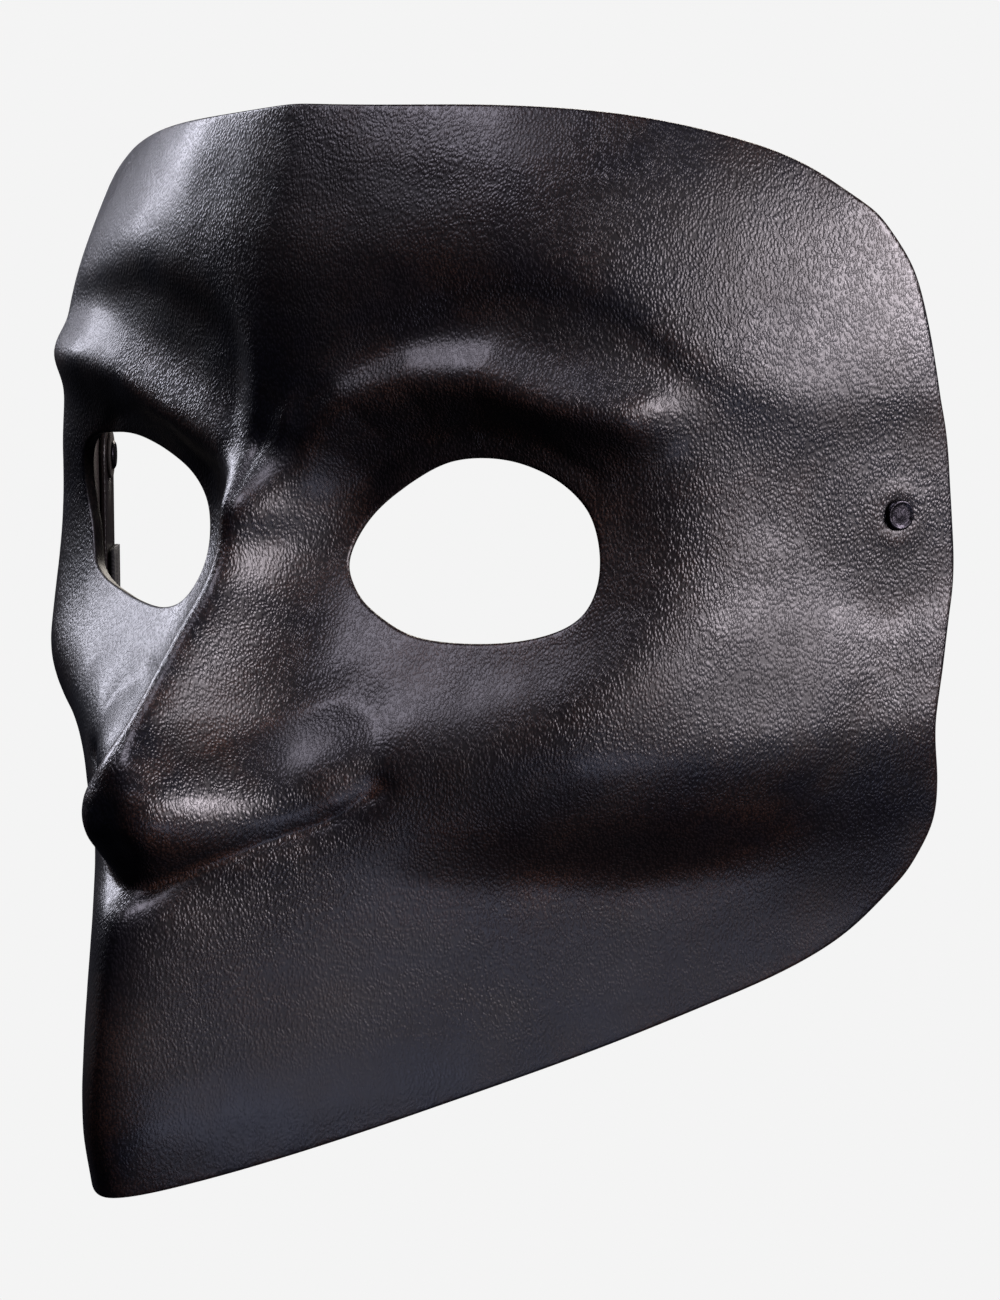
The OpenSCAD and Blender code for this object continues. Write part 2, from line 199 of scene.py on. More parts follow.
@dataclass(frozen=True)
class FaceForm:
    """The mask's outer surface in mm: its depth in front of the open back at each place.

    Every table holds one half of the face, as the CAD source draws it, and is mirrored.
    """

    # height, depth at the middle, slope of the front, fold place, slope of the side, fold softness
    sections: Table = (
        (-116, 115.0, 1.56, 56, 1.40, 8), (-105, 119.5, 1.58, 56, 1.40, 8),
        (-91, 122.0, 1.60, 56, 1.40, 8), (-70, 118.6, 1.54, 56, 1.37, 8),
        (-58, 115.0, 1.42, 58, 1.38, 8), (-46, 105.0, 1.05, 61, 1.67, 6),
        (-33, 93.0, 0.80, 62, 1.73, 6), (-9, 74.5, 0.47, 61, 1.72, 5),
        (7.5, 72.5, 0.45, 61, 1.72, 5), (23, 73.5, 0.44, 61, 1.72, 5.5),
        (46, 71.5, 0.41, 57, 1.62, 9), (61, 67.0, 0.40, 53, 1.50, 10.5),
        (73, 62.0, 0.44, 50, 1.50, 12), (88, 54.0, 0.50, 47, 1.50, 12))
    ridge: Table = ((-116, 5), (-91, 5), (-70, 6), (-58, 7), (-46, 10), (-33, 15), (88, 13))
    nose: Table = (
        (-60, 0, 10), (-54, 0, 11), (-50, 3.5, 11), (-46, 9.5, 10.5), (-42, 15, 10), (-38, 19.5, 9),
        (-33, 22.5, 8.5), (-24, 21, 8), (-15, 19, 7.5), (-8, 15.5, 7), (0, 11, 6.5), (7, 5, 6),
        (14, 0, 6), (20, 0, 6))
    nose_ridge_r: float = 1.0
    nose_power: float = 1.4
    nose_narrow: float = 0.93
    tip_top: float = -27.0
    tip_run: float = 13.0
    tip_round: float = 3.0
    tip_power: float = 0.9
    left_brow_line: Table = (
        (0, 13), (5, 17), (10, 24), (20, 33), (32, 40), (45, 41.5), (56, 37), (66, 27), (100, 0))
    right_brow_line: Table = (
        (0, 25), (3, 30), (7.5, 34), (14, 37.5), (30, 41), (42, 40.5), (61, 36.5), (70, 30), (100, 5))
    brow_step: float = 3.2
    brow_soft: float = 1.8
    # Where the step fades out and over what run: below, towards the side, and at the middle.
    brow_low: Point2 = (-2.0, 6.0)
    brow_side: Point2 = (72.0, 4.0)
    brow_middle: float = 8.0
    # points, half width, height
    strokes: tuple = (
        (((6, -45), (13, -41), (21, -37)), 7, 3),
        (((2, -40), (6.5, -33), (14, -27.5), (21, -25.5), (26, -28.5), (28.5, -34), (29, -39)), 3.5, -0.7),
        (((0, -55), (5, -54), (10, -51), (16, -48), (21, -46.5), (26, -44), (29, -40)), 2.4, -1.2),
        (((67.5, 7), (68.5, -5), (67, -15), (61, -24), (52, -30), (40, -33), (32, -33)), 8, 2.2),
        (((86.5, -14), (87, -26), (83.5, -40), (75.5, -52.5), (66, -59.5), (55, -61), (46, -58)), 4.5, -0.9),
        # tooled lines that only the finished leather shows: sharp wing creases, a fold over the eye
        (((3, -55), (9, -52), (16, -48.6), (23, -45.6), (28, -41.5)), 0.9, -0.55),
        (((8, -33), (14, -28.6), (21, -26.4), (26.5, -29), (28.8, -35)), 1.4, -0.15),
        (((16, 9), (24, 15.5), (34, 18), (44, 16), (51, 10)), 1.5, -0.35),
        (((85.5, -16), (86, -26), (82.5, -39.5), (75, -51.5), (66, -58.3), (56, -60)), 1.6, -0.2))
    left_brow: tuple = (
        ((4, 6), (9.5, 16), (16, 22.5), (26, 26), (37, 26.5), (47, 23), (58, 20.5)), 5.5, 4.8)
    right_brow: tuple = (
        ((1, 7), (4, 10), (9, 13.5), (19, 17), (26, 19.5), (39.5, 24), (50, 25.5), (64, 26)), 5.5, 4.8)
    # x, z, half width, half height, height
    swellings: Table = ((42, -1, 22, 17, -4), (15, 2, 6, 12, -1.5), (60, -38, 22, 16, 2.5))
    right_swellings: Table = ((64, 10, 14, 20, 3), (56, -43, 16, 11, -7))
    corner_pull: float = 8.0
    corner_start: Point2 = (20.0, 32.0)
    corner_run: Point2 = (45.0, 38.0)
    join_w: float = 12.0
    left_top_edge: Table = (
        (0, 0, 71.5), (0.4, 34, 71.3), (0.58, 48.5, 70.3), (0.75, 61.5, 67), (0.88, 73, 62), (1, 83, 53))
    right_top_edge: Table = (
        (0, 0, 71.5), (0.15, 11, 70), (0.4, 31, 67.2), (0.58, 46, 64.6), (0.75, 60, 61), (0.88, 71, 56.5),
        (1, 80, 49.5))
    left_side_edge: Table = (
        (0, 86.5, -62.5), (0.1, 90.5, -52), (0.25, 92.3, -35), (0.5, 92.5, -8), (0.75, 91.2, 22),
        (0.9, 88, 42), (1, 83, 53))
    right_side_edge: Table = (
        (0, 86.5, -62.5), (0.1, 90.5, -52), (0.25, 92.3, -35), (0.5, 92.5, -8), (0.75, 91, 19),
        (0.9, 87, 38), (1, 80, 49.5))
    chin_edge: Table = (
        (0, 0, -105.3), (0.06, 6, -104.7), (0.2, 18, -101.5), (0.45, 41, -93), (0.7, 63, -83),
        (0.88, 77.5, -74), (1, 86.5, -62.5))
    land_slope: float = 1.7
    land_depth: float = 7.0
    land_in: float = 10.0
    land_out: float = 22.0
    rivet: Point2 = (87.0, 1.5)
    dimple_rise: float = 0.45
    dimple_start: float = 2.7
    dimple_run: float = 0.9
    dimple_top: float = 3.4
    dimple_fade: float = 2.6
    edge_points: int = 80

    def plain(self, x: np.ndarray, z: np.ndarray) -> np.ndarray:
        """Depth of the plain folded face, before its features.

        Args:
            x: Distances from the middle, in mm.
            z: Places up, in mm.

        Returns:
            Distance in front of the open back, in mm.
        """
        round_r = smooth(self.ridge, z)
        run = np.sqrt(x * x + round_r * round_r) - round_r
        front, fold, side, soft = (smooth(self.sections, z, c) for c in (2, 3, 4, 5))
        turned = np.logaddexp(0, (x - fold) / soft) - np.logaddexp(0, -fold / soft)
        return smooth(self.sections, z) - front * run - (side - front) * soft * turned

    def nose_height(self, x: np.ndarray, z: np.ndarray) -> np.ndarray:
        """Height of the nose over the plain face: narrow-ridged, with a rounder tip.

        Args:
            x: Distances from the middle, in mm.
            z: Places up, in mm.

        Returns:
            Height in mm.
        """
        tip = ease((self.tip_top - z) / self.tip_run)
        round_r = self.nose_ridge_r + self.tip_round * tip
        run = np.sqrt(x * x + round_r**2) - round_r
        reach = self.nose_narrow * smooth(self.nose, z, 2)
        return smooth(self.nose, z) * np.exp(-(run / reach) ** (self.nose_power + self.tip_power * tip))

    @staticmethod
    def stroke(x: np.ndarray, z: np.ndarray, line: tuple, half: float, height: float) -> np.ndarray:
        """Height that one moulded line adds, from a ridge if positive or a crease if negative.

        Args:
            x: Distances from the middle, in mm.
            z: Places up, in mm.
            line: The points it runs through.
            half: Its half width, in mm.
            height: Its height, in mm, which is negative for a crease.

        Returns:
            Height in mm.
        """
        nearest = np.full(x.shape, np.inf)
        for (ax, az), (bx, bz) in zip(line, line[1:]):
            dx, dz = bx - ax, bz - az
            t = np.clip(((x - ax) * dx + (z - az) * dz) / (dx * dx + dz * dz), 0, 1)
            nearest = np.minimum(nearest, (x - ax - t * dx) ** 2 + (z - az - t * dz) ** 2)
        return height * np.exp(-nearest / half**2)

    def step(self, x: np.ndarray, z: np.ndarray, line: Table) -> np.ndarray:
        """The step from the forehead down to the brow, along a line, which fades at both ends.

        Args:
            x: Distances from the middle, in mm.
            z: Places up, in mm.
            line: Height of the step at each distance from the middle.

        Returns:
            Height in mm, which is negative below the line.
        """
        def rise(v: np.ndarray) -> np.ndarray:
            """Logistic rise from 0 to 1."""
            return 1 / (1 + np.exp(-v))
        over = rise((smooth(line, x) - z) / self.brow_soft)
        above = rise((z - self.brow_low[0]) / self.brow_low[1])
        inner = rise((self.brow_side[0] - x) / self.brow_side[1])
        return -self.brow_step * over * above * inner * ease(x / self.brow_middle)

    def half(self, x: np.ndarray, z: np.ndarray, side: Side) -> np.ndarray:
        """Depth of one half of the face.

        Args:
            x: Distances from the middle, in mm.
            z: Places up, in mm.
            side: Which half it is.

        Returns:
            Distance in front of the open back, in mm.
        """
        left = side is Side.LEFT
        line = self.left_brow_line if left else self.right_brow_line
        total = self.plain(x, z) + self.nose_height(x, z) + self.step(x, z, line)
        for route, width, height in (*self.strokes, self.left_brow if left else self.right_brow):
            total = total + self.stroke(x, z, route, width, height)
        for cx, cz, rx, rz, height in (*self.swellings, *(() if left else self.right_swellings)):
            total = total + height * np.exp(-((x - cx) / rx) ** 2 - ((z - cz) / rz) ** 2)
        if not left:
            total = total - (self.corner_pull * ease((x - self.corner_start[0]) / self.corner_run[0])
                             * ease((z - self.corner_start[1]) / self.corner_run[1]))
        off_x = x - self.rivet[0]
        away = np.hypot(off_x * math.hypot(1, self.land_slope), z - self.rivet[1])
        flat = 1 - ease((away - self.land_in) / (self.land_out - self.land_in))
        beyond = np.maximum(away - self.dimple_top, 0) / self.dimple_fade
        ring = self.dimple_rise * ease((away - self.dimple_start) / self.dimple_run) * np.exp(-beyond**2)
        return flat * (self.land_depth - self.land_slope * off_x + ring) + (1 - flat) * total

    def depth(self, x: np.ndarray, z: np.ndarray) -> np.ndarray:
        """Depth of the whole face, one half turning into the other over a strip in the middle.

        Args:
            x: Places across, in mm.
            z: Places up, in mm.

        Returns:
            Distance in front of the open back, in mm.
        """
        share = ease(x / self.join_w + 0.5)
        far = np.abs(x)
        return share * self.half(far, z, Side.LEFT) + (1 - share) * self.half(far, z, Side.RIGHT)

    def slopes(self, x: np.ndarray, z: np.ndarray, reach: float) -> tuple[np.ndarray, np.ndarray]:
        """Slopes of the depth across and up, taken over a reach in mm.

        Args:
            x: Places across, in mm.
            z: Places up, in mm.
            reach: How far to each side the depth is read.

        Returns:
            The slope across and the slope up.
        """
        across = (self.depth(x + reach, z) - self.depth(x - reach, z)) / (2 * reach)
        up = (self.depth(x, z + reach) - self.depth(x, z - reach)) / (2 * reach)
        return across, up

    def outline(self) -> np.ndarray:
        """The mask's cut edge as one closed ring of x and z.

        Returns:
            The ring's points, in mm.
        """
        share = np.linspace(0, 1, self.edge_points)
        halves = []
        for edges in ((self.chin_edge, self.left_side_edge, self.left_top_edge),
                      (self.chin_edge, self.right_side_edge, self.right_top_edge)):
            chin, side, top = (np.stack([smooth(edge, share, c) for c in (1, 2)], 1) for edge in edges)
            halves.append(np.vstack([chin[:-1], side[:-1], top[::-1]]))
        return np.vstack([halves[0], (halves[1] * (-1, 1))[-2:0:-1]])


# ---------------------------------------------------------------- mesh helpers

def add_object(name: str, mesh: bmesh.types.BMesh, smooth_faces: bool = True) -> bpy.types.Object:
    """Turns a finished bmesh in metres into a scene object and frees it.

    Args:
        name: The piece's name.
        mesh: The bmesh.
        smooth_faces: Whether its faces are shaded smooth.

    Returns:
        The new object, linked to the scene.
    """
    bmesh.ops.recalc_face_normals(mesh, faces=mesh.faces)
    data = bpy.data.meshes.new(name)
    mesh.to_mesh(data)
    mesh.free()
    for face in data.polygons:
        face.use_smooth = smooth_faces
    made = bpy.data.objects.new(name, data)
    bpy.context.scene.collection.objects.link(made)
    return made


def join_rings(mesh: bmesh.types.BMesh, rings: list, closed: bool = False, capped: bool = False) -> None:
    """Skins rows of vertices with quads.

    Args:
        mesh: The bmesh that holds the vertices.
        rings: Rows of vertices, each a closed ring of the same length.
        closed: Whether the last row joins the first.
        capped: Whether the first and last rows are filled.
    """
    pairs = list(zip(rings, rings[1:])) + ([(rings[-1], rings[0])] if closed else [])
    for low, high in pairs:
        for k in range(len(low)):
            n = (k + 1) % len(low)
            mesh.faces.new((low[k], low[n], high[n], high[k]))
    if capped:
        mesh.faces.new(rings[0][::-1])
        mesh.faces.new(rings[-1])


def lathe(name: str, profile: list[Point2], place: Matrix, closed: bool, turns: int = 96) -> bpy.types.Object:
    """Turns a profile of radius and height, in mm, about a piece's own Z.

    Args:
        name: The piece's name.
        profile: Radius and height pairs, from one end to the other.
        place: Where the piece's own frame lies, in metres.
        closed: Whether the profile is a ring, as of a washer.
        turns: How many steps go round.

    Returns:
        The new object.
    """
    mesh = bmesh.new()
    angles = [math.tau * k / turns for k in range(turns)]
    rings = []
    for radius, height in profile:
        spots = [Vector((radius * math.cos(a), radius * math.sin(a), height)) * MM for a in angles]
        rings.append([mesh.verts.new(place @ spot) for spot in spots])
    join_rings(mesh, rings, closed=closed, capped=not closed)
    return add_object(name, mesh)


def rounded(profile: list[Point2], radius: float, steps: int = 4, closed: bool = True) -> list[Point2]:
    """Rounds the corners of an outline.

    Args:
        profile: The outline's corners in order.
        radius: Radius cut from each corner.
        steps: How many points each corner gets, less one.
        closed: Whether the first and last points are corners too.

    Returns:
        The new outline.
    """
    result = []
    count = len(profile)
    for i, corner in enumerate(profile):
        if not closed and i in (0, count - 1):
            result.append(corner)
            continue
        here = Vector(corner)
        before, after = Vector(profile[i - 1]) - here, Vector(profile[(i + 1) % count]) - here
        cut = min(radius, 0.45 * before.length, 0.45 * after.length)
        start, end = here + before.normalized() * cut, here + after.normalized() * cut
        for k in range(steps + 1):
            t = k / steps
            result.append(tuple((1 - t) ** 2 * start + 2 * t * (1 - t) * here + t * t * end))
    return result


# How a stitch is shaped: its steps along and round, how thin its ends are, how deep it lies.
STITCH_STEPS = 8
STITCH_END = 0.12
STITCH_SUNK = 0.35


def thread_run(mesh: bmesh.types.BMesh, start: Vector, end: Vector, up: Vector,
               width: float, high: float) -> None:
    """Adds one stitch: a short plump thread that dives into the leather at both ends.

    Args:
        mesh: The bmesh it goes into.
        start: Where it comes up, in metres.
        end: Where it goes down, in metres.
        up: Which way it stands off the face.
        width: Thickness of the thread, in metres.
        high: How far its middle stands off the face, in metres.
    """
    along = (end - start).normalized()
    across = along.cross(up).normalized()
    rings = []
    angles = [math.tau * k / STITCH_STEPS for k in range(STITCH_STEPS)]
    for k in range(STITCH_STEPS + 1):
        t = k / STITCH_STEPS
        swell = math.sin(math.pi * (STITCH_END + (1 - 2 * STITCH_END) * t))
        middle = start.lerp(end, t) + up * (high * swell - width * STITCH_SUNK)
        radius = width * 0.5 * swell
        rings.append([mesh.verts.new(middle + (across * math.cos(a) + up * math.sin(a)) * radius)
                      for a in angles])
    join_rings(mesh, rings, capped=True)


# ---------------------------------------------------------------- shader helpers

def linear(hex_colour: str) -> tuple[float, float, float, float]:
    """Turns an sRGB hex colour into linear red, green, blue and alpha."""
    channels = [int(hex_colour[i:i + 2], 16) / 255 for i in (1, 3, 5)]
    return (*[c / 12.92 if c <= 0.04045 else ((c + 0.055) / 1.055) ** 2.4 for c in channels], 1.0)


def scale_of(size: float) -> float:
    """The texture scale that draws features of a size in mm."""
    return 1 / (size * MM)


def add_node(tree: bpy.types.NodeTree, kind: str, inputs: dict | None = None,
             **settings: object) -> bpy.types.Node:
    """Adds a shader node with its settings and links.

    Args:
        tree: The node tree.
        kind: The node's type, without its ShaderNode prefix.
        inputs: A number, colour or output socket for each input, by name or place. A node stands
            for its first output.
        **settings: The node's own properties.

    Returns:
        The new node.
    """
    made = tree.nodes.new("ShaderNode" + kind)
    for name, value in settings.items():
        setattr(made, name, value)
    for key, value in (inputs or {}).items():
        if isinstance(value, bpy.types.Node):
            value = value.outputs[0]
        if isinstance(value, bpy.types.NodeSocket):
            tree.links.new(value, made.inputs[key])
        else:
            made.inputs[key].default_value = value
    return made


def new_material(name: str) -> tuple[bpy.types.Material, bpy.types.NodeTree]:
    """Makes an empty node material.

    Args:
        name: The material's name.

    Returns:
        The material and its node tree.
    """
    material = bpy.data.materials.new(name)
    material.use_nodes = True
    material.node_tree.nodes.clear()
    return material, material.node_tree


# Places of the inputs that two node types hold several of under one name.
LOW, HIGH, TO_LOW, TO_HIGH = 1, 2, 3, 4
SHARE, FIRST, SECOND, MIXED = 0, 6, 7, 2


# ---------------------------------------------------------------- finishes

@dataclass(frozen=True)
class MouldedLeather:
    """Vegetable-tanned cowhide, wet-moulded, dyed black over brown and waxed."""

    name: str = "black_waxed_cowhide_grain_side"
    black: str = "#0b0a0d"
    blue_black: str = "#0e1018"
    brown_black: str = "#1b110d"
    rubbed: str = "#4c3124"
    # Painted shade for the valleys of the grain.
    groove: str = "#040304"
    grain_mm: float = 0.56
    lean_degrees: float = 32.0
    slim: float = 1.35
    long: float = 0.74
    pore_mm: float = 0.26
    fold_mm: float = 1.2
    relief_mm: float = 0.09
    warp_mm: float = 4.0
    warp_by_mm: float = 1.6
    patch_mm: float = 14.0
    cloud_mm: float = 34.0
    dome_share: float = 0.85
    fold_share: float = 0.15
    pore_share: float = 0.16
    rough_low: float = 0.33
    rough_high: float = 0.43

    def build(self) -> bpy.types.Material:
        """Makes the grain side.

        The dye gives the near-black, the wax the soft broken gloss, and the pressed pebbles of
        the hide catch that gloss one by one. The valleys between the pebbles carry painted shade.
        Brown shows where handling has thinned the dye.

        Returns:
            The material.
        """
        material, tree = new_material(self.name)
        place = add_node(tree, "TexCoord").outputs["Object"]
        drift = add_node(tree, "TexNoise", {"Vector": place, "Scale": scale_of(self.warp_mm), "Detail": 2.0})
        shift = add_node(tree, "VectorMath", {0: drift.outputs["Color"], 1: (0.5, 0.5, 0.5)},
                         operation="SUBTRACT")
        small = add_node(tree, "VectorMath", {0: shift, "Scale": self.warp_by_mm * MM}, operation="SCALE")
        bent = add_node(tree, "VectorMath", {0: place, 1: small}, operation="ADD")
        # The pebbles lean up and outwards, as the hide stretched over the mould.
        lean = (0.0, math.radians(self.lean_degrees), 0.0)
        leaned = add_node(tree, "Mapping", {"Vector": bent, "Rotation": lean,
                                            "Scale": (self.slim, 1.0, self.long)})
        pebble = add_node(tree, "TexVoronoi", {"Vector": leaned, "Scale": scale_of(self.grain_mm),
                                               "Smoothness": 0.25, "Randomness": 0.95}, feature="SMOOTH_F1")
        dome = add_node(tree, "MapRange", {0: pebble.outputs["Distance"], LOW: 0.72, HIGH: 0.12},
                        interpolation_type="SMOOTHSTEP")
        # Coarser folds run between groups of pebbles.
        fold = add_node(tree, "TexNoise", {"Vector": leaned, "Scale": scale_of(self.fold_mm), "Detail": 2.0,
                                           "Roughness": 0.6, "Distortion": 0.6})
        pores = add_node(tree, "TexNoise", {"Vector": place, "Scale": scale_of(self.pore_mm), "Detail": 2.0,
                                            "Roughness": 0.6})
        patch = add_node(tree, "TexNoise", {"Vector": place, "Scale": scale_of(self.patch_mm), "Detail": 4.0,
                                            "Roughness": 0.6})
        cloud = add_node(tree, "TexNoise", {"Vector": place, "Scale": scale_of(self.cloud_mm), "Detail": 2.0})
        coarse = add_node(tree, "Attribute", attribute_name="coarse").outputs["Fac"]
        wear = add_node(tree, "Attribute", attribute_name="wear").outputs["Fac"]
        brown = add_node(tree, "Attribute", attribute_name="brown").outputs["Fac"]

        folds = add_node(tree, "Math", {0: fold, 1: self.fold_share}, operation="MULTIPLY")
        domes = add_node(tree, "Math", {0: dome, 1: self.dome_share, 2: folds}, operation="MULTIPLY_ADD")
        grain = add_node(tree, "Math", {0: pores, 1: self.pore_share, 2: domes}, operation="MULTIPLY_ADD")
        height = add_node(tree, "Math", {0: grain, 1: coarse}, operation="MULTIPLY")
        bump = add_node(tree, "Bump", {"Height": height, "Strength": 1.0, "Distance": self.relief_mm * MM})

        mottled = add_node(tree, "MapRange", {0: patch, LOW: 0.36, HIGH: 0.64},
                           interpolation_type="SMOOTHSTEP")
        dyed = add_node(tree, "Mix", {SHARE: brown, FIRST: linear(self.blue_black),
                                      SECOND: linear(self.brown_black)}, data_type="RGBA")
        mixed = add_node(tree, "Mix", {SHARE: mottled, FIRST: dyed.outputs[MIXED],
                                       SECOND: linear(self.black)}, data_type="RGBA")
        speck = add_node(tree, "MapRange", {0: pores, LOW: 0.38, HIGH: 0.6}, interpolation_type="SMOOTHSTEP")
        flecks = add_node(tree, "Math", {0: speck, 1: mottled}, operation="MULTIPLY")
        rub = add_node(tree, "Math", {0: wear, 1: flecks}, operation="MULTIPLY")
        thinned = add_node(tree, "Mix", {SHARE: rub, FIRST: mixed.outputs[MIXED],
                                         SECOND: linear(self.rubbed)}, data_type="RGBA")
        # Painted shade: the valleys between the pebbles are drawn darker, near to black.
        painted_valley_shade = add_node(tree, "MapRange", {0: dome, LOW: 0.35, HIGH: 0.0, TO_HIGH: 0.6},
                          interpolation_type="SMOOTHSTEP")
        tone = add_node(tree, "Mix", {SHARE: painted_valley_shade, FIRST: thinned.outputs[MIXED],
                                      SECOND: linear(self.groove)}, data_type="RGBA")

        waxed = add_node(tree, "MapRange", {0: cloud, LOW: 0.32, HIGH: 0.68, TO_LOW: self.rough_low,
                                            TO_HIGH: self.rough_high}, interpolation_type="SMOOTHSTEP")
        uneven = add_node(tree, "MapRange", {0: patch, LOW: 0.3, HIGH: 0.7, TO_LOW: -0.03, TO_HIGH: 0.04})
        rough = add_node(tree, "Math", {0: waxed, 1: uneven}, operation="ADD")
        surface = add_node(tree, "BsdfPrincipled", {
            "Base Color": tone.outputs[MIXED], "Roughness": rough, "Normal": bump, "IOR": 1.5,
            "Coat Weight": 0.22, "Coat Roughness": 0.22, "Coat IOR": 1.45})
        add_node(tree, "OutputMaterial", {"Surface": surface})
        return material


@dataclass(frozen=True)
class FleshSide:
    """The back of the same hide: close-cut, dyed dark brown, with a short nap."""

    name: str = "dyed_hide_flesh_side"
    dark: str = "#1c1512"
    light: str = "#2f241e"
    fibre_mm: float = 0.35
    patch_mm: float = 9.0
    relief_mm: float = 0.12

    def build(self) -> bpy.types.Material:
        """Makes the flesh side: matt, with short fibres and cloudy dye that give a dusty look.

        Returns:
            The material.
        """
        material, tree = new_material(self.name)
        place = add_node(tree, "TexCoord").outputs["Object"]
        nap = add_node(tree, "TexNoise", {"Vector": place, "Scale": scale_of(self.fibre_mm), "Detail": 4.0,
                                          "Distortion": 1.5})
        cloud = add_node(tree, "TexNoise", {"Vector": place, "Scale": scale_of(self.patch_mm), "Detail": 4.0})
        dyed = add_node(tree, "MapRange", {0: cloud, LOW: 0.3, HIGH: 0.7, TO_LOW: 0.3})
        napped = add_node(tree, "MapRange", {0: nap, LOW: 0.3, HIGH: 0.7, TO_LOW: 0.4})
        both = add_node(tree, "Math", {0: dyed, 1: napped}, operation="MULTIPLY")
        tone = add_node(tree, "Mix", {SHARE: both, FIRST: linear(self.dark), SECOND: linear(self.light)},
                        data_type="RGBA")
        bump = add_node(tree, "Bump", {"Height": nap, "Strength": 0.8, "Distance": self.relief_mm * MM})
        surface = add_node(tree, "BsdfPrincipled", {
            "Base Color": tone.outputs[MIXED], "Normal": bump, "Roughness": 0.85, "Sheen Weight": 0.15,
            "Sheen Roughness": 0.5})
        add_node(tree, "OutputMaterial", {"Surface": surface})
        return material


@dataclass(frozen=True)
class BurnishedEdge:
    """A cut leather edge, dyed and rubbed with a bone folder."""

    name: str = "burnished_leather_edge"
    dark: str = "#120f0e"
    light: str = "#2a1f19"
    layer_mm: float = 0.45
    relief_mm: float = 0.06

    def build(self) -> bpy.types.Material:
        """Makes the edge: smooth and dark, with faint fibre layers that show it is cut.

        Returns:
            The material.
        """
        material, tree = new_material(self.name)
        place = add_node(tree, "TexCoord").outputs["Object"]
        layers = add_node(tree, "TexNoise", {"Vector": place, "Scale": scale_of(self.layer_mm), "Detail": 3.0,
                                             "Distortion": 0.8})
        pale = add_node(tree, "MapRange", {0: layers, LOW: 0.45, HIGH: 0.7})
        tone = add_node(tree, "Mix", {SHARE: pale, FIRST: linear(self.dark), SECOND: linear(self.light)},
                        data_type="RGBA")
        rough = add_node(tree, "MapRange", {0: layers, LOW: 0.3, HIGH: 0.7, TO_LOW: 0.4, TO_HIGH: 0.6})
        bump = add_node(tree, "Bump", {"Height": layers, "Strength": 0.6, "Distance": self.relief_mm * MM})
        surface = add_node(tree, "BsdfPrincipled", {
            "Base Color": tone.outputs[MIXED], "Roughness": rough, "Normal": bump, "IOR": 1.5})
        add_node(tree, "OutputMaterial", {"Surface": surface})
        return material


@dataclass(frozen=True)
class Gunmetal:
    """Steel rivet with a blackened, tumbled plating."""

    name: str = "gunmetal_plated_steel"
    dark: str = "#1d1c20"
    bright: str = "#56545a"
    scratch_mm: float = 0.5
    relief_mm: float = 0.02

    def build(self) -> bpy.types.Material:
        """Makes the plating: a dark metal with cloudy gloss, worn paler in fine scratches.

        Returns:
            The material.
        """
        material, tree = new_material(self.name)
        place = add_node(tree, "TexCoord").outputs["Object"]
        cloud = add_node(tree, "TexNoise", {"Vector": place, "Scale": scale_of(self.scratch_mm),
                                            "Detail": 4.0, "Distortion": 2.0})
        worn = add_node(tree, "MapRange", {0: cloud, LOW: 0.5, HIGH: 0.72})
        tone = add_node(tree, "Mix", {SHARE: worn, FIRST: linear(self.dark), SECOND: linear(self.bright)},
                        data_type="RGBA")
        rough = add_node(tree, "MapRange", {0: cloud, LOW: 0.3, HIGH: 0.7, TO_LOW: 0.28, TO_HIGH: 0.42})
        bump = add_node(tree, "Bump", {"Height": cloud, "Strength": 0.25, "Distance": self.relief_mm * MM})
        surface = add_node(tree, "BsdfPrincipled", {
            "Base Color": tone.outputs[MIXED], "Roughness": rough, "Normal": bump, "Metallic": 1.0})
        add_node(tree, "OutputMaterial", {"Surface": surface})
        return material


@dataclass(frozen=True)
class VulcanisedFibre:
    """Pressed paper fibre, as washers are stamped from."""

    name: str = "vulcanised_fibre"
    dark: str = "#1d1a18"
    light: str = "#37302b"
    fleck_mm: float = 0.4
    relief_mm: float = 0.04

    def build(self) -> bpy.types.Material:
        """Makes the washer board: matt charcoal with paler flecks of fibre.

        Returns:
            The material.
        """
        material, tree = new_material(self.name)
        place = add_node(tree, "TexCoord").outputs["Object"]
        fleck = add_node(tree, "TexNoise", {"Vector": place, "Scale": scale_of(self.fleck_mm), "Detail": 5.0})
        pale = add_node(tree, "MapRange", {0: fleck, LOW: 0.45, HIGH: 0.65})
        tone = add_node(tree, "Mix", {SHARE: pale, FIRST: linear(self.dark), SECOND: linear(self.light)},
                        data_type="RGBA")
        bump = add_node(tree, "Bump", {"Height": fleck, "Strength": 0.4, "Distance": self.relief_mm * MM})
        surface = add_node(tree, "BsdfPrincipled", {
            "Base Color": tone.outputs[MIXED], "Normal": bump, "Roughness": 0.7})
        add_node(tree, "OutputMaterial", {"Surface": surface})
        return material


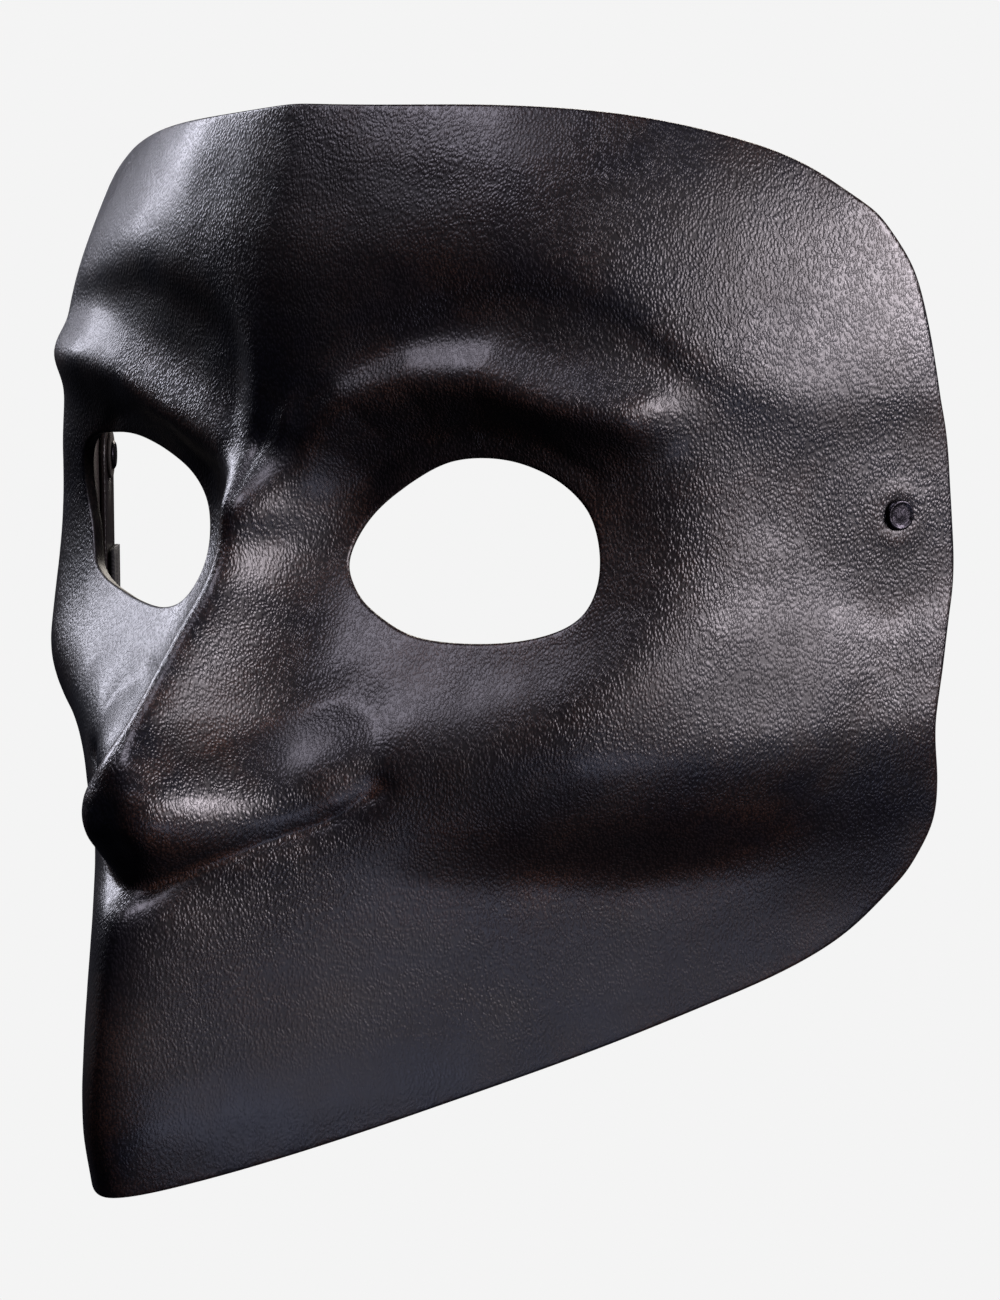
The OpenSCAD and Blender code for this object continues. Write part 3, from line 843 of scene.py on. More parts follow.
@dataclass(frozen=True)
class WovenElastic:
    """Braided polyester over rubber cores, as haberdashers sell it for straps."""

    name: str = "braided_black_elastic"
    dark: str = "#08080a"
    light: str = "#24242a"
    rib_mm: float = 1.1
    pick_mm: float = 0.8
    fuzz_mm: float = 0.3
    relief_mm: float = 0.18

    def build(self) -> bpy.types.Material:
        """Makes the braid: lengthwise ribs crossed by short picks, drawn paler where they rise as a painted
        highlight, matt with a faint yarn sheen.

        The ribs and picks are drawn at about one and a half times the real thread spacing, so
        that they show at the size the mask is seen.

        Returns:
            The material.
        """
        material, tree = new_material(self.name)
        run = add_node(tree, "Attribute", attribute_name="strap_mm")
        parts = add_node(tree, "SeparateXYZ", {0: run.outputs["Vector"]})
        along = add_node(tree, "Math", {0: parts.outputs[0], 1: math.tau / self.pick_mm},
                         operation="MULTIPLY")
        across = add_node(tree, "Math", {0: parts.outputs[1], 1: math.tau / self.rib_mm},
                          operation="MULTIPLY")
        # Each rib's picks are set half a pick off its neighbour's, which makes the braid.
        side = add_node(tree, "Math", {0: across}, operation="SINE")
        lean = add_node(tree, "Math", {0: side, 1: 1.4, 2: along}, operation="MULTIPLY_ADD")
        picks = add_node(tree, "Math", {0: lean}, operation="SINE")
        ribs = add_node(tree, "Math", {0: across}, operation="COSINE")
        ribbed = add_node(tree, "Math", {0: ribs, 1: 0.3, 2: 0.5}, operation="MULTIPLY_ADD")
        woven = add_node(tree, "Math", {0: picks, 1: 0.2, 2: ribbed}, operation="MULTIPLY_ADD")
        place = add_node(tree, "TexCoord").outputs["Object"]
        fuzz = add_node(tree, "TexNoise", {"Vector": place, "Scale": scale_of(self.fuzz_mm), "Detail": 3.0})
        high = add_node(tree, "Math", {0: fuzz, 1: 0.25, 2: woven}, operation="MULTIPLY_ADD")
        # Painted highlight and shade: the raised ribs and picks are drawn paler, the hollows between them
        # darker.
        pale = add_node(tree, "MapRange", {0: high, LOW: 0.2, HIGH: 1.1})
        tone = add_node(tree, "Mix", {SHARE: pale, FIRST: linear(self.dark), SECOND: linear(self.light)},
                        data_type="RGBA")
        bump = add_node(tree, "Bump", {"Height": high, "Strength": 1.0, "Distance": self.relief_mm * MM})
        surface = add_node(tree, "BsdfPrincipled", {
            "Base Color": tone.outputs[MIXED], "Normal": bump, "Roughness": 0.72, "Sheen Weight": 0.3,
            "Sheen Roughness": 0.4})
        add_node(tree, "OutputMaterial", {"Surface": surface})
        return material


@dataclass(frozen=True)
class WaxedThread:
    """Twisted polyester thread, waxed, as leather is sewn with."""

    name: str = "waxed_twisted_thread"
    dark: str = "#1c1714"
    light: str = "#4a4038"
    twist_mm: float = 0.5
    # The wave texture draws about this many bands over one unit of its scale.
    bands: float = 6.0
    relief_mm: float = 0.08

    def build(self) -> bpy.types.Material:
        """Makes the thread: dark strands whose twists are drawn paler where they rise, a painted highlight,
        and a low wax gloss.

        Returns:
            The material.
        """
        material, tree = new_material(self.name)
        place = add_node(tree, "TexCoord").outputs["Object"]
        twist = add_node(tree, "TexWave", {"Vector": place, "Scale": scale_of(self.twist_mm) / self.bands,
                                           "Distortion": 1.0}, bands_direction="DIAGONAL")
        # Painted highlight: each twist is drawn paler where it rises.
        tone = add_node(tree, "Mix", {SHARE: twist.outputs["Fac"], FIRST: linear(self.dark),
                                      SECOND: linear(self.light)}, data_type="RGBA")
        bump = add_node(tree, "Bump", {"Height": twist.outputs["Fac"], "Strength": 0.6,
                                       "Distance": self.relief_mm * MM})
        surface = add_node(tree, "BsdfPrincipled", {
            "Base Color": tone.outputs[MIXED], "Normal": bump, "Roughness": 0.5})
        add_node(tree, "OutputMaterial", {"Surface": surface})
        return material


@dataclass(frozen=True)
class Workshop:
    """Every finish of the mask, made once and shared."""

    leather: bpy.types.Material
    flesh: bpy.types.Material
    edge: bpy.types.Material
    metal: bpy.types.Material
    fibre: bpy.types.Material
    elastic: bpy.types.Material
    thread: bpy.types.Material

    @classmethod
    def open(cls) -> "Workshop":
        """Builds the finishes."""
        return cls(MouldedLeather().build(), FleshSide().build(), BurnishedEdge().build(), Gunmetal().build(),
                   VulcanisedFibre().build(), WovenElastic().build(), WaxedThread().build())


# ---------------------------------------------------------------- the mask's shell

@dataclass(frozen=True)
class MaskShell:
    """The moulded leather shell with its two eye holes. Sizes are in mm."""

    form: FaceForm
    thickness: float = 2.5
    edge_round: float = 0.6
    edge_steps: int = 6
    edge_grow: float = 0.35
    edge_run: float = 8.0
    stretch_max: float = 2.6
    slope_reach: float = 0.8
    ring_pitch: float = 0.75
    hole_pitch_share: float = 0.7
    outline_passes: int = 14
    hole_passes: int = 3
    lattice: float = 0.95
    fine_lattice: float = 0.6
    row_share: float = 0.87
    span_x: Point2 = (-96.0, 96.0)
    span_z: Point2 = (-110.0, 76.0)
    nose_half: float = 30.0
    nose_z: Point2 = (-62.0, 24.0)
    left_hole: tuple[Point2, ...] = (
        (14.4, -4), (17, -9.4), (22.5, -13.7), (29, -16.5), (38, -17.3), (46, -16.3), (51.2, -13.5),
        (53, -8.5), (52.3, -2), (49.8, 4.6), (45, 9.6), (38, 12.5), (30, 12.2), (22.5, 8), (16.5, 2.6))
    right_hole: tuple[Point2, ...] = (
        (15.4, -8.5), (17.5, -13), (23, -15), (31, -15.1), (39, -14.3), (45.5, -13), (49.5, -11), (51.5, -8),
        (53.2, -4.5), (55.4, -0.5), (56.6, 4), (55.8, 8.3), (52.5, 11), (45.5, 12.3), (38, 12.2),
        (29.5, 10.5), (22.5, 7.8), (18.4, 3.5), (16.3, -2.5))
    wobble: float = 0.3
    wobble_size: float = 22.0
    middle: Point2 = (0.0, -15.0)
    # size and height of the hand's unevenness, which stays clear of the rivets
    moulding: Table = ((14, 0.28), (5.5, 0.09))
    rivet_clear: float = 12.0
    # Wear on crests and hollows: reach they are read over, gain and share.
    crest_reach: float = 2.2
    crest_gain: float = 1.6
    crest_wear: float = 0.7
    edge_wear: float = 0.35
    edge_wear_run: float = 1.6
    brown_wear: float = 0.5
    brown_wear_size: float = 13.0
    # x, z, half width, half height, strength of the brown tint
    brown_places: Table = (
        (40, -4, 30, 26, 1.0), (52, -60, 30, 18, 0.8), (20, 55, 34, 22, 0.6), (14, -70, 18, 16, 0.5),
        (-40, 10, 22, 20, 0.3))
    coarse_even: float = 0.75
    # x, z, half width, half height and strength of the boldest grain, over the temples
    coarse_temple: tuple[float, ...] = (72.0, 12.0, 20.0, 42.0, 0.35)
    # start, run and loss of the smoother border below the jaw
    smooth_jaw: tuple[float, ...] = (52.0, 30.0, 0.35)
    coarse_uneven: Point2 = (17.0, 0.15)

    def rings(self) -> list[np.ndarray]:
        """The outline and the two holes, each an even ring; the outline comes first.

        Returns:
            Three rings of x and z, in mm.
        """
        outline = even_ring(self.form.outline(), self.ring_pitch, self.outline_passes)
        uneven = ripple(outline[:, 0], outline[:, 1], self.wobble_size, Seed.EDGE)
        outward = outline - self.middle
        outward /= np.linalg.norm(outward, axis=1)[:, None]
        outline = outline + outward * (self.edge_grow + self.wobble * uneven)[:, None]
        pitch = self.ring_pitch * self.hole_pitch_share
        left, right = (closed_curve(hole, 12) for hole in (self.left_hole, self.right_hole))
        holes = [even_ring(hole, pitch, self.hole_passes) for hole in (left, right * (-1, 1))]
        return [outline, *holes]

    @staticmethod
    def inset(ring: np.ndarray, by: float, hole: bool) -> np.ndarray:
        """Moves a ring into the leather by a distance.

        Args:
            ring: The ring's points.
            by: How far, in mm.
            hole: Whether the leather lies outside the ring.

        Returns:
            The moved points.
        """
        ahead = np.roll(ring, -1, 0) - np.roll(ring, 1, 0)
        left = np.stack([-ahead[:, 1], ahead[:, 0]], 1) / np.linalg.norm(ahead, axis=1)[:, None]
        return ring + left * (-by if hole else by)

    @staticmethod
    def on_leather(borders: list[np.ndarray], x: np.ndarray, z: np.ndarray) -> np.ndarray:
        """Tells which points lie inside the outline and outside the holes.

        Args:
            borders: The outline and the holes, the outline first.
            x: Places across, in mm.
            z: Places up, in mm.

        Returns:
            True for each point on the leather.
        """
        keep = inside(borders[0], x, z)
        for hole in borders[1:]:
            keep &= ~inside(hole, x, z)
        return keep

    def lattice_points(self, borders: list[np.ndarray]) -> np.ndarray:
        """Even points over the leather, closer together over the nose, clear of every border.

        Args:
            borders: The outline and the holes, the outline first.

        Returns:
            x and z of each point, in mm.
        """
        parts = []
        for pitch, near_nose in ((self.lattice, False), (self.fine_lattice, True)):
            x, z = np.meshgrid(np.arange(*self.span_x, pitch),
                               np.arange(*self.span_z, pitch * self.row_share))
            x = x + pitch * 0.5 * (np.arange(x.shape[0]) % 2)[:, None]
            x, z = x.ravel(), z.ravel()
            nose = (np.abs(x) < self.nose_half) & (z > self.nose_z[0]) & (z < self.nose_z[1])
            keep = (nose == near_nose) & self.on_leather(borders, x, z)
            parts.append(np.stack([x[keep], z[keep]], 1))
        points = np.vstack(parts)
        tree = self.nearest(borders)
        clear = np.array([tree.find((a, 0, b))[2] for a, b in points]) > 0.5 * self.fine_lattice
        return points[clear]

    @staticmethod
    def nearest(rings: list[np.ndarray]) -> kdtree.KDTree:
        """A search tree over every point of the rings.

        Args:
            rings: The rings.

        Returns:
            The tree, with each point at x, 0 and z.
        """
        points = np.vstack(rings)
        tree = kdtree.KDTree(len(points))
        for i, (a, b) in enumerate(points):
            tree.insert((a, 0, b), i)
        tree.balance()
        return tree

    def surface(self, flat: np.ndarray, sunk: np.ndarray, edge_gap: np.ndarray) -> np.ndarray:
        """Places points on or under the outer face.

        Args:
            flat: x and z of each point.
            sunk: How far below the outer face each one lies, in mm.
            edge_gap: Distance of each point from the nearest cut edge.

        Returns:
            Their places in metres.
        """
        x, z = flat[:, 0], flat[:, 1]
        depth = self.form.depth(x, z)
        clear = ease(np.abs(np.abs(x) - self.form.rivet[0]) / self.rivet_clear)
        for layer, (size, height) in enumerate(self.moulding):
            depth = depth + height * ripple(x, z, size, Seed.MOULDING + layer) * clear
        across, up = self.form.slopes(x, z, self.slope_reach)
        long = np.sqrt(1 + across**2 + up**2)
        inward = np.stack([across, np.ones_like(x), up], 1) / long[:, None]
        # Far from an edge the back follows the front along Y, so a sharp ridge can't fold it over.
        straight = np.stack([np.zeros_like(x), np.minimum(long, self.stretch_max), np.zeros_like(x)], 1)
        share = ease(edge_gap / self.edge_run)[:, None]
        way = (1 - share) * inward + share * straight
        return (np.stack([x, -depth, z], 1) + way * sunk[:, None]) * MM

    def triangulate(self, borders: list[np.ndarray]) -> tuple[np.ndarray, np.ndarray, list[list[int]]]:
        """Covers the leather between its borders with small even triangles.

        Args:
            borders: The outline and the holes, the outline first.

        Returns:
            x and z of the corners, the corners of each triangle, and the corners along each border.
        """
        flat = np.vstack([*borders, self.lattice_points(borders)])
        starts = np.cumsum([0] + [len(border) for border in borders])
        edges = [(start + k, start + (k + 1) % len(border))
                 for start, border in zip(starts, borders) for k in range(len(border))]
        found = geometry.delaunay_2d_cdt([Vector(p) for p in flat], edges, [], 0, 1e-7)
        flat = np.array([tuple(v) for v in found[0]])
        came_from = {old: new for new, olds in enumerate(found[3]) for old in olds}
        triangles = np.array(found[2])
        middles = flat[triangles].mean(axis=1)
        triangles = triangles[self.on_leather(borders, middles[:, 0], middles[:, 1])]
        along = [[came_from[start + k] for k in range(len(border))]
                 for start, border in zip(starts, borders)]
        return flat, triangles, along

    def build(self, finishes: Workshop) -> bpy.types.Object:
        """Makes the shell: both faces over one triangulation, joined by rounded cut edges.

        Args:
            finishes: The mask's finishes.

        Returns:
            The shell's object.
        """
        rings = self.rings()
        angles = np.linspace(0, math.pi / 2, self.edge_steps)
        insets = self.edge_round * (1 - np.cos(angles))
        sinks = self.edge_round * (1 - np.sin(angles))
        borders = [self.inset(r, self.edge_round, i > 0) for i, r in enumerate(rings)]
        flat, triangles, along = self.triangulate(borders)
        tree = self.nearest(rings)
        gap = np.array([tree.find((a, 0, b))[2] for a, b in flat])
        nothing = np.zeros(len(flat))
        front = self.surface(flat, nothing, gap)
        back = self.surface(flat, nothing + self.thickness, gap)

        mesh = bmesh.new()
        front_verts = [mesh.verts.new(p) for p in front]
        back_verts = [mesh.verts.new(p) for p in back]
        for a, b, c in triangles:
            mesh.faces.new((front_verts[a], front_verts[b], front_verts[c])).material_index = 0
            mesh.faces.new((back_verts[a], back_verts[c], back_verts[b])).material_index = 1
        for number, ring in enumerate(rings):
            count = len(ring)
            rows = [[front_verts[k] for k in along[number]]]
            places = list(zip(insets[::-1], sinks[::-1]))[1:]
            places += [(0.0, self.thickness / 2)]
            places += [(i, self.thickness - s) for i, s in zip(insets, sinks)][:-1]
            for inset_by, sunk in places:
                points = self.inset(ring, inset_by, number > 0)
                spots = self.surface(points, np.full(count, sunk), np.full(count, inset_by))
                rows.append([mesh.verts.new(p) for p in spots])
            rows.append([back_verts[k] for k in along[number]])
            known = len(mesh.faces)
            join_rings(mesh, rows)
            mesh.faces.ensure_lookup_table()
            # The first three rows, where the edge turns, still show the grain side.
            for k, face in enumerate(mesh.faces[known:]):
                face.material_index = 0 if k < 3 * count else 2
        loose = [v for v in mesh.verts if not v.link_faces]
        bmesh.ops.delete(mesh, geom=loose, context="VERTS")
        shell = add_object("moulded_leather_shell", mesh)
        for material in (finishes.leather, finishes.flesh, finishes.edge):
            shell.data.materials.append(material)
        self.mark(shell, tree)
        return shell

    def mark(self, shell: bpy.types.Object, edges: kdtree.KDTree) -> None:
        """Writes where the hide is worn, brown or coarse, which the leather finish reads.

        Args:
            shell: The shell's object.
            edges: Search tree over the cut edges.
        """
        count = len(shell.data.vertices)
        spots = np.empty(count * 3)
        shell.data.vertices.foreach_get("co", spots)
        spots = spots.reshape(-1, 3) / MM
        x, z = spots[:, 0], spots[:, 2]
        gap = np.array([edges.find((a, 0, b))[2] for a, b in zip(x, z)])
        reach = self.crest_reach
        around = sum(self.form.depth(x + dx, z + dz) for dx, dz in
                     ((reach, 0), (-reach, 0), (0, reach), (0, -reach))) / 4
        crest = self.form.depth(x, z) - around
        wear = np.clip(np.abs(crest) * self.crest_gain, 0, 1) * self.crest_wear
        wear = wear + self.edge_wear * np.exp(-gap / self.edge_wear_run)
        brown = np.zeros(count)
        for cx, cz, rx, rz, strength in self.brown_places:
            brown = brown + strength * np.exp(-((x - cx) / rx) ** 2 - ((z - cz) / rz) ** 2)
        handled = np.clip(0.5 + ripple(x, z, self.brown_wear_size, Seed.WEAR), 0, 1)
        wear = wear + self.brown_wear * brown * handled
        # The border below the jaw was pressed smoother, the temples kept the boldest grain.
        cx, cz, rx, rz, strength = self.coarse_temple
        coarse = self.coarse_even + strength * np.exp(-((np.abs(x) - cx) / rx) ** 2 - ((z - cz) / rz) ** 2)
        start, run, loss = self.smooth_jaw
        size, height = self.coarse_uneven
        coarse = coarse - loss * ease((-z - start) / run) + height * ripple(x, z, size, Seed.COARSE)
        for name, values in (("wear", wear), ("brown", brown), ("coarse", coarse)):
            layer = shell.data.attributes.new(name, "FLOAT", "POINT")
            layer.data.foreach_set("value", np.clip(values, 0, 1.3).astype(np.float32))


# ---------------------------------------------------------------- rivets, washers and strap

def rivet_frame(side: Side) -> Matrix:
    """A rivet's own frame in metres: Z out of the leather, Y up, X to the wearer's rear.

    Args:
        side: Which rivet it is.

    Returns:
        Where that frame lies.
    """
    joint = side.joint()
    axis = Vector(joint["axis"]).normalized()
    out = Vector((abs(axis.x) * side.value, -abs(axis.y), 0.0))
    up = Vector((0, 0, 1))
    rear = up.cross(out)
    rear = rear if rear.y > 0 else -rear
    turn = Matrix((rear, up, out)).transposed()
    return Matrix.Translation(Vector(joint["pos_m"])) @ turn.to_4x4()


@dataclass(frozen=True)
class RivetStack:
    """One rivet with its washer. Sizes are in mm, heights count outwards from the leather's face."""

    side: Side
    cap_r: float = 2.75
    cap_h: float = 1.0
    post_r: float = 1.25
    socket: float = 0.6
    head_top: float = -4.4
    head_h: float = 0.7
    washer_r: float = 4.5
    washer_t: float = 0.5
    washer_top: float = -3.9
    washer_bore: float = 1.4

    def build(self, finishes: Workshop) -> list[bpy.types.Object]:
        """Makes the cap with its rolled rim, the headed post and the washer.

        Args:
            finishes: The mask's finishes.

        Returns:
            The three objects.
        """
        place = rivet_frame(self.side)
        r, h = self.cap_r, self.cap_h
        cap = lathe(f"{self.side.word}_rivet_cap_face", [
            (0.05, self.socket), (self.post_r, self.socket), (self.post_r, 0.0), (r - 0.25, 0.0),
            (r - 0.06, 0.12), (r, 0.35), (r - 0.04, 0.62), (r - 0.16, 0.85), (r - 0.36, h - 0.02),
            (r - 0.58, h - 0.03), (r - 0.78, h - 0.14), (r - 1.1, h - 0.18), (r - 1.7, h - 0.14),
            (0.05, h - 0.12)], place, closed=False)
        low = self.head_top - self.head_h
        post = lathe(f"{self.side.word}_rivet_tail", rounded([
            (0.05, self.socket), (self.post_r, self.socket), (self.post_r, self.head_top), (r, self.head_top),
            (r, low + 0.35), (r - 0.5, low), (0.05, low)], 0.22, 3, closed=False), place, closed=False)
        outer, bore = self.washer_r, self.washer_bore
        top, under = self.washer_top, self.washer_top - self.washer_t
        washer = lathe(f"{self.side.word}_fibre_washer", rounded([
            (bore, under), (outer, under), (outer, top), (bore, top)], 0.14, 3), place, closed=True)
        made = ((cap, "rivet_cap", finishes.metal, "rivet_metal"),
                (post, "rivet_post", finishes.metal, "rivet_metal"),
                (washer, "washer", finishes.fibre, "washer_fibre"))
        for piece, node, finish, slot in made:
            piece.data.materials.append(finish)
            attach(piece, "mask")
            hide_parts(f"{self.side.word}_{node}")
        return [piece for piece, *_ in made]


@dataclass(frozen=True)
class StrapTab:
    """A leather tab that swings on its rivet, with the stitches that hold the elastic. Sizes are in mm."""

    side: Side
    length: float = 30.0
    width: float = 14.0
    thick: float = 1.0
    bore_r: float = 1.3
    corner: float = 2.5
    top: float = -2.8
    edge_round: float = 0.35
    box_inset: float = 1.5
    sewn: float = 12.0
    elastic_w: float = 10.0
    stitch: float = 1.8
    pitch: float = 2.5
    thread_w: float = 0.6
    thread_h: float = 0.28

    def outline(self, inset: float) -> list[Point2]:
        """The tab's outline, shrunk by an inset: a round head over the rivet, and a square end.

        Args:
            inset: How far it is shrunk, in mm.

        Returns:
            The points in order, with the rivet at the origin.
        """
        r = self.width / 2 - inset
        c = self.corner - inset * 0.5
        end = -self.length + inset
        head = [(r * math.cos(a), r * math.sin(a)) for a in np.linspace(0, math.pi, 49)]
        left = [(-r + c - c * math.cos(a), end + c - c * math.sin(a)) for a in np.linspace(0, math.pi / 2, 9)]
        right = [(r - c + c * math.sin(a), end + c - c * math.cos(a)) for a in np.linspace(0, math.pi / 2, 9)]
        sides = 24
        down = [(-r, (end + c) * k / sides) for k in range(1, sides)]
        up = [(r, (end + c) * (1 - k / sides)) for k in range(1, sides)]
        return head + down + left + right + up

    def build(self, finishes: Workshop) -> list[bpy.types.Object]:
        """Makes the tab and its box of stitches."""
        return [self.leather(finishes), self.stitches(finishes)]

    def leather(self, finishes: Workshop) -> bpy.types.Object:
        """Makes the tab itself, with rounded cut edges and a hole for the rivet.

        Args:
            finishes: The mask's finishes.

        Returns:
            The tab's object.
        """
        place = rivet_frame(self.side)
        mesh = bmesh.new()
        around = np.linspace(0, math.tau, len(self.outline(0)) + 1)[:-1]
        hole = [(self.bore_r * math.cos(a), self.bore_r * math.sin(a)) for a in around]
        low = self.top - self.thick
        round_r = self.edge_round
        turn = np.linspace(0, math.pi / 2, 5)
        rims = [(round_r * (1 - math.sin(a)), self.top - round_r * (1 - math.cos(a))) for a in turn]
        rims += [(round_r * (1 - math.sin(a)), low + round_r * (1 - math.cos(a))) for a in turn[::-1]]

        def row(points: list[Point2], height: float) -> list:
            """Adds one ring of vertices at a height."""
            return [mesh.verts.new(place @ (Vector((px, py, height)) * MM)) for px, py in points]

        rows = [row(self.outline(inset), height) for inset, height in rims]
        faces = [row(hole, self.top), row(hole, low)]
        between = [[(h[0] + (o[0] - h[0]) * share, h[1] + (o[1] - h[1]) * share)
                    for h, o in zip(hole, self.outline(round_r))] for share in (0.35, 0.7)]
        tops = [row(points, self.top) for points in between]
        lows = [row(points, low) for points in between]
        join_rings(mesh, [faces[0], *tops, *rows, *lows[::-1], faces[1]], closed=True)
        skin = add_object(f"{self.side.word}_strap_tab_leather", mesh)
        skin.data.materials.append(finishes.leather)
        self.plain_marks(skin)
        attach(skin, self.side.body)
        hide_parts(f"{self.side.word}_tab")
        return skin

    def stitches(self, finishes: Workshop) -> bpy.types.Object:
        """Makes the box of stitches that holds the elastic.

        Args:
            finishes: The mask's finishes.

        Returns:
            The stitches' object.
        """
        place = rivet_frame(self.side)
        mesh = bmesh.new()
        half = self.elastic_w / 2 - self.box_inset
        box_l = self.sewn - 2 * self.box_inset
        number = int(box_l // self.pitch)
        first = (box_l - (number - 1) * self.pitch - self.stitch) / 2
        bottom = self.box_inset - self.length
        out = (place.to_3x3() @ Vector((0, 0, 1))).normalized()
        starts = [bottom + first + k * self.pitch for k in range(number)]
        runs = [((x, y), (x, y + self.stitch)) for x in (-half, half) for y in starts]
        reach = self.stitch / 2
        runs += [((k * self.pitch - reach, y), (k * self.pitch + reach, y))
                 for y in (bottom, bottom + box_l) for k in (-1, 0, 1)]
        for run in runs:
            start, end = (place @ (Vector((*spot, self.top)) * MM) for spot in run)
            thread_run(mesh, start, end, out, self.thread_w * MM, self.thread_h * MM)
        stitches = add_object(f"{self.side.word}_tab_stitches", mesh)
        stitches.data.materials.append(finishes.thread)
        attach(stitches, self.side.body)
        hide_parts(f"{self.side.word}_tab_stitching")
        return stitches

    @staticmethod
    def plain_marks(skin: bpy.types.Object) -> None:
        """Gives the tab an even amount of wear, brown and grain.

        Args:
            skin: The tab's object.
        """
        for name, value in (("wear", 0.25), ("brown", 0.6), ("coarse", 0.55)):
            layer = skin.data.attributes.new(name, "FLOAT", "POINT")
            layer.data.foreach_set("value", np.full(len(skin.data.vertices), value, np.float32))


@dataclass(frozen=True)
class ElasticHalf:
    """Half of the head elastic, sewn to a tab and hanging to the middle. Sizes are in mm."""

    side: Side
    width: float = 10.0
    thick: float = 1.0
    tab_length: float = 30.0
    sewn: float = 12.0
    overlap: float = 16.0
    sag: float = 90.0
    back_y: float = 2.0
    drop: float = 32.0
    reach: float = 38.0
    under_tab: float = -4.55
    lap_gap: float = 0.05
    steps: int = 110
    straight_steps: int = 8
    selvedge: float = 0.7
    ribs: int = 12
    rib_dip: float = 0.08
    # The rounded edge: how far in it starts, how far in its shoulder lies, and how high.
    round_in: float = 0.35
    shoulder_in: float = 0.08
    shoulder_up: float = 0.6

    def line(self) -> np.ndarray:
        """The band's middle line on the left side: down the tab, then round to the middle.

        Returns:
            The points in order, in mm.
        """
        place = rivet_frame(Side.LEFT)
        lift = self.thick + self.lap_gap if self.side is Side.RIGHT else 0.0
        top = np.array(place.translation) / MM + np.array(place.to_3x3().col[2]) * self.under_tab
        top[2] -= self.tab_length - self.sewn
        start = top - (0, 0, self.sewn)
        end = np.array([self.overlap / 2, self.back_y, -self.sag + lift])
        down, out = start - (0, 0, self.drop), end + (self.reach, 0, 0)
        t = np.linspace(0, 1, self.steps)[1:, None]
        hang = (1 - t) ** 3 * start + 3 * (1 - t) ** 2 * t * down + 3 * (1 - t) * t**2 * out + t**3 * end
        count = self.straight_steps
        sewn = [top + (start - top) * k / count for k in range(count + 1)]
        last = [end - (self.overlap * k / count, 0, 0) for k in range(1, count + 1)]
        return np.vstack([sewn, hang, last])

    def build(self, finishes: Workshop) -> bpy.types.Object:
        """Makes the band, with plump selvedges, curved along its line from the tab round to the middle.

        Args:
            finishes: The mask's finishes.

        Returns:
            The band's object.
        """
        line = self.line()
        run = np.concatenate([[0], np.cumsum(np.linalg.norm(np.diff(line, axis=0), axis=1))])
        ahead = np.gradient(line, axis=0)
        ahead /= np.linalg.norm(ahead, axis=1)[:, None]
        flat = np.array(rivet_frame(Side.LEFT).to_3x3().col[0])
        free = (run - self.sewn) / (run[-1] - self.overlap - self.sewn)
        want = flat + ease(free)[:, None] * (np.array([0.0, 1.0, 0.0]) - flat)
        wide = want - np.sum(want * ahead, axis=1)[:, None] * ahead
        wide /= np.linalg.norm(wide, axis=1)[:, None]
        proud = np.cross(ahead, wide)
        hw, ht = self.width / 2, self.thick / 2
        ribbed = self.width - 2 * self.selvedge
        face = [(-hw + self.selvedge + ribbed * k / self.ribs,
                 ht * (1 - self.rib_dip + self.rib_dip * math.cos(math.pi * k)))
                for k in range(self.ribs + 1)]
        shoulder, rise = hw - self.shoulder_in, ht * self.shoulder_up
        edge = [(hw - self.round_in, ht), (shoulder, rise), (hw, 0.0), (shoulder, -rise),
                (hw - self.round_in, -ht)]
        profile = face + edge + [(-a, -b) for a, b in face] + [(-a, -b) for a, b in edge]
        mesh = bmesh.new()
        layer = mesh.verts.layers.float_vector.new("strap_mm")
        rings = []
        for spot, across, out, far in zip(line, wide, proud, run):
            ring = []
            for a, b in profile:
                x, y, z = (spot + across * a + out * b) * MM
                vert = mesh.verts.new((x * self.side.value, y, z))
                vert[layer] = (far, a, b)
                ring.append(vert)
            rings.append(ring)
        join_rings(mesh, rings, capped=True)
        band = add_object(f"{self.side.word}_head_elastic", mesh)
        band.data.materials.append(finishes.elastic)
        top = line[len(line) // 4] * MM
        x = float(top[0]) * self.side.value
        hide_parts(f"elastic_{self.side.word}")
        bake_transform(band)
        log.info("%s: %.0f mm from its sewn end to the lap's end", band.name, run[-1])
        return band


@dataclass(frozen=True)
class CentreTacks:
    """The bar tacks that join both halves of the elastic. Sizes are in mm."""

    overlap: float = 16.0
    bar: float = 3.0
    pitch: float = 1.6
    rows: int = 5
    back_y: float = 2.0
    sag: float = 90.0
    thick: float = 1.0
    lap_gap: float = 0.05
    thread_w: float = 0.7
    thread_h: float = 0.3

    def build(self, finishes: Workshop) -> bpy.types.Object:
        """Makes the tacks on the upper and lower faces of the lap.

        Args:
            finishes: The mask's finishes.

        Returns:
            The tacks' object.
        """
        mesh = bmesh.new()
        row_x = self.overlap / 2 - self.bar
        faces = ((-self.sag - self.thick / 2, -1), (-self.sag + 1.5 * self.thick + self.lap_gap, 1))
        for height, way in faces:
            for x in (-row_x, row_x):
                for k in range(self.rows):
                    y = self.back_y + (k - (self.rows - 1) / 2) * self.pitch
                    start, end = (Vector((x + s * self.bar / 2, y, height)) * MM for s in (-1, 1))
                    thread_run(mesh, start, end, Vector((0, 0, way)),
                               self.thread_w * MM, self.thread_h * MM)
        tacks = add_object("elastic_bar_tacks", mesh)
        tacks.data.materials.append(finishes.thread)
        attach(tacks, "mask")
        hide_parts("centre_stitching")
        return tacks


# ---------------------------------------------------------------- the studio

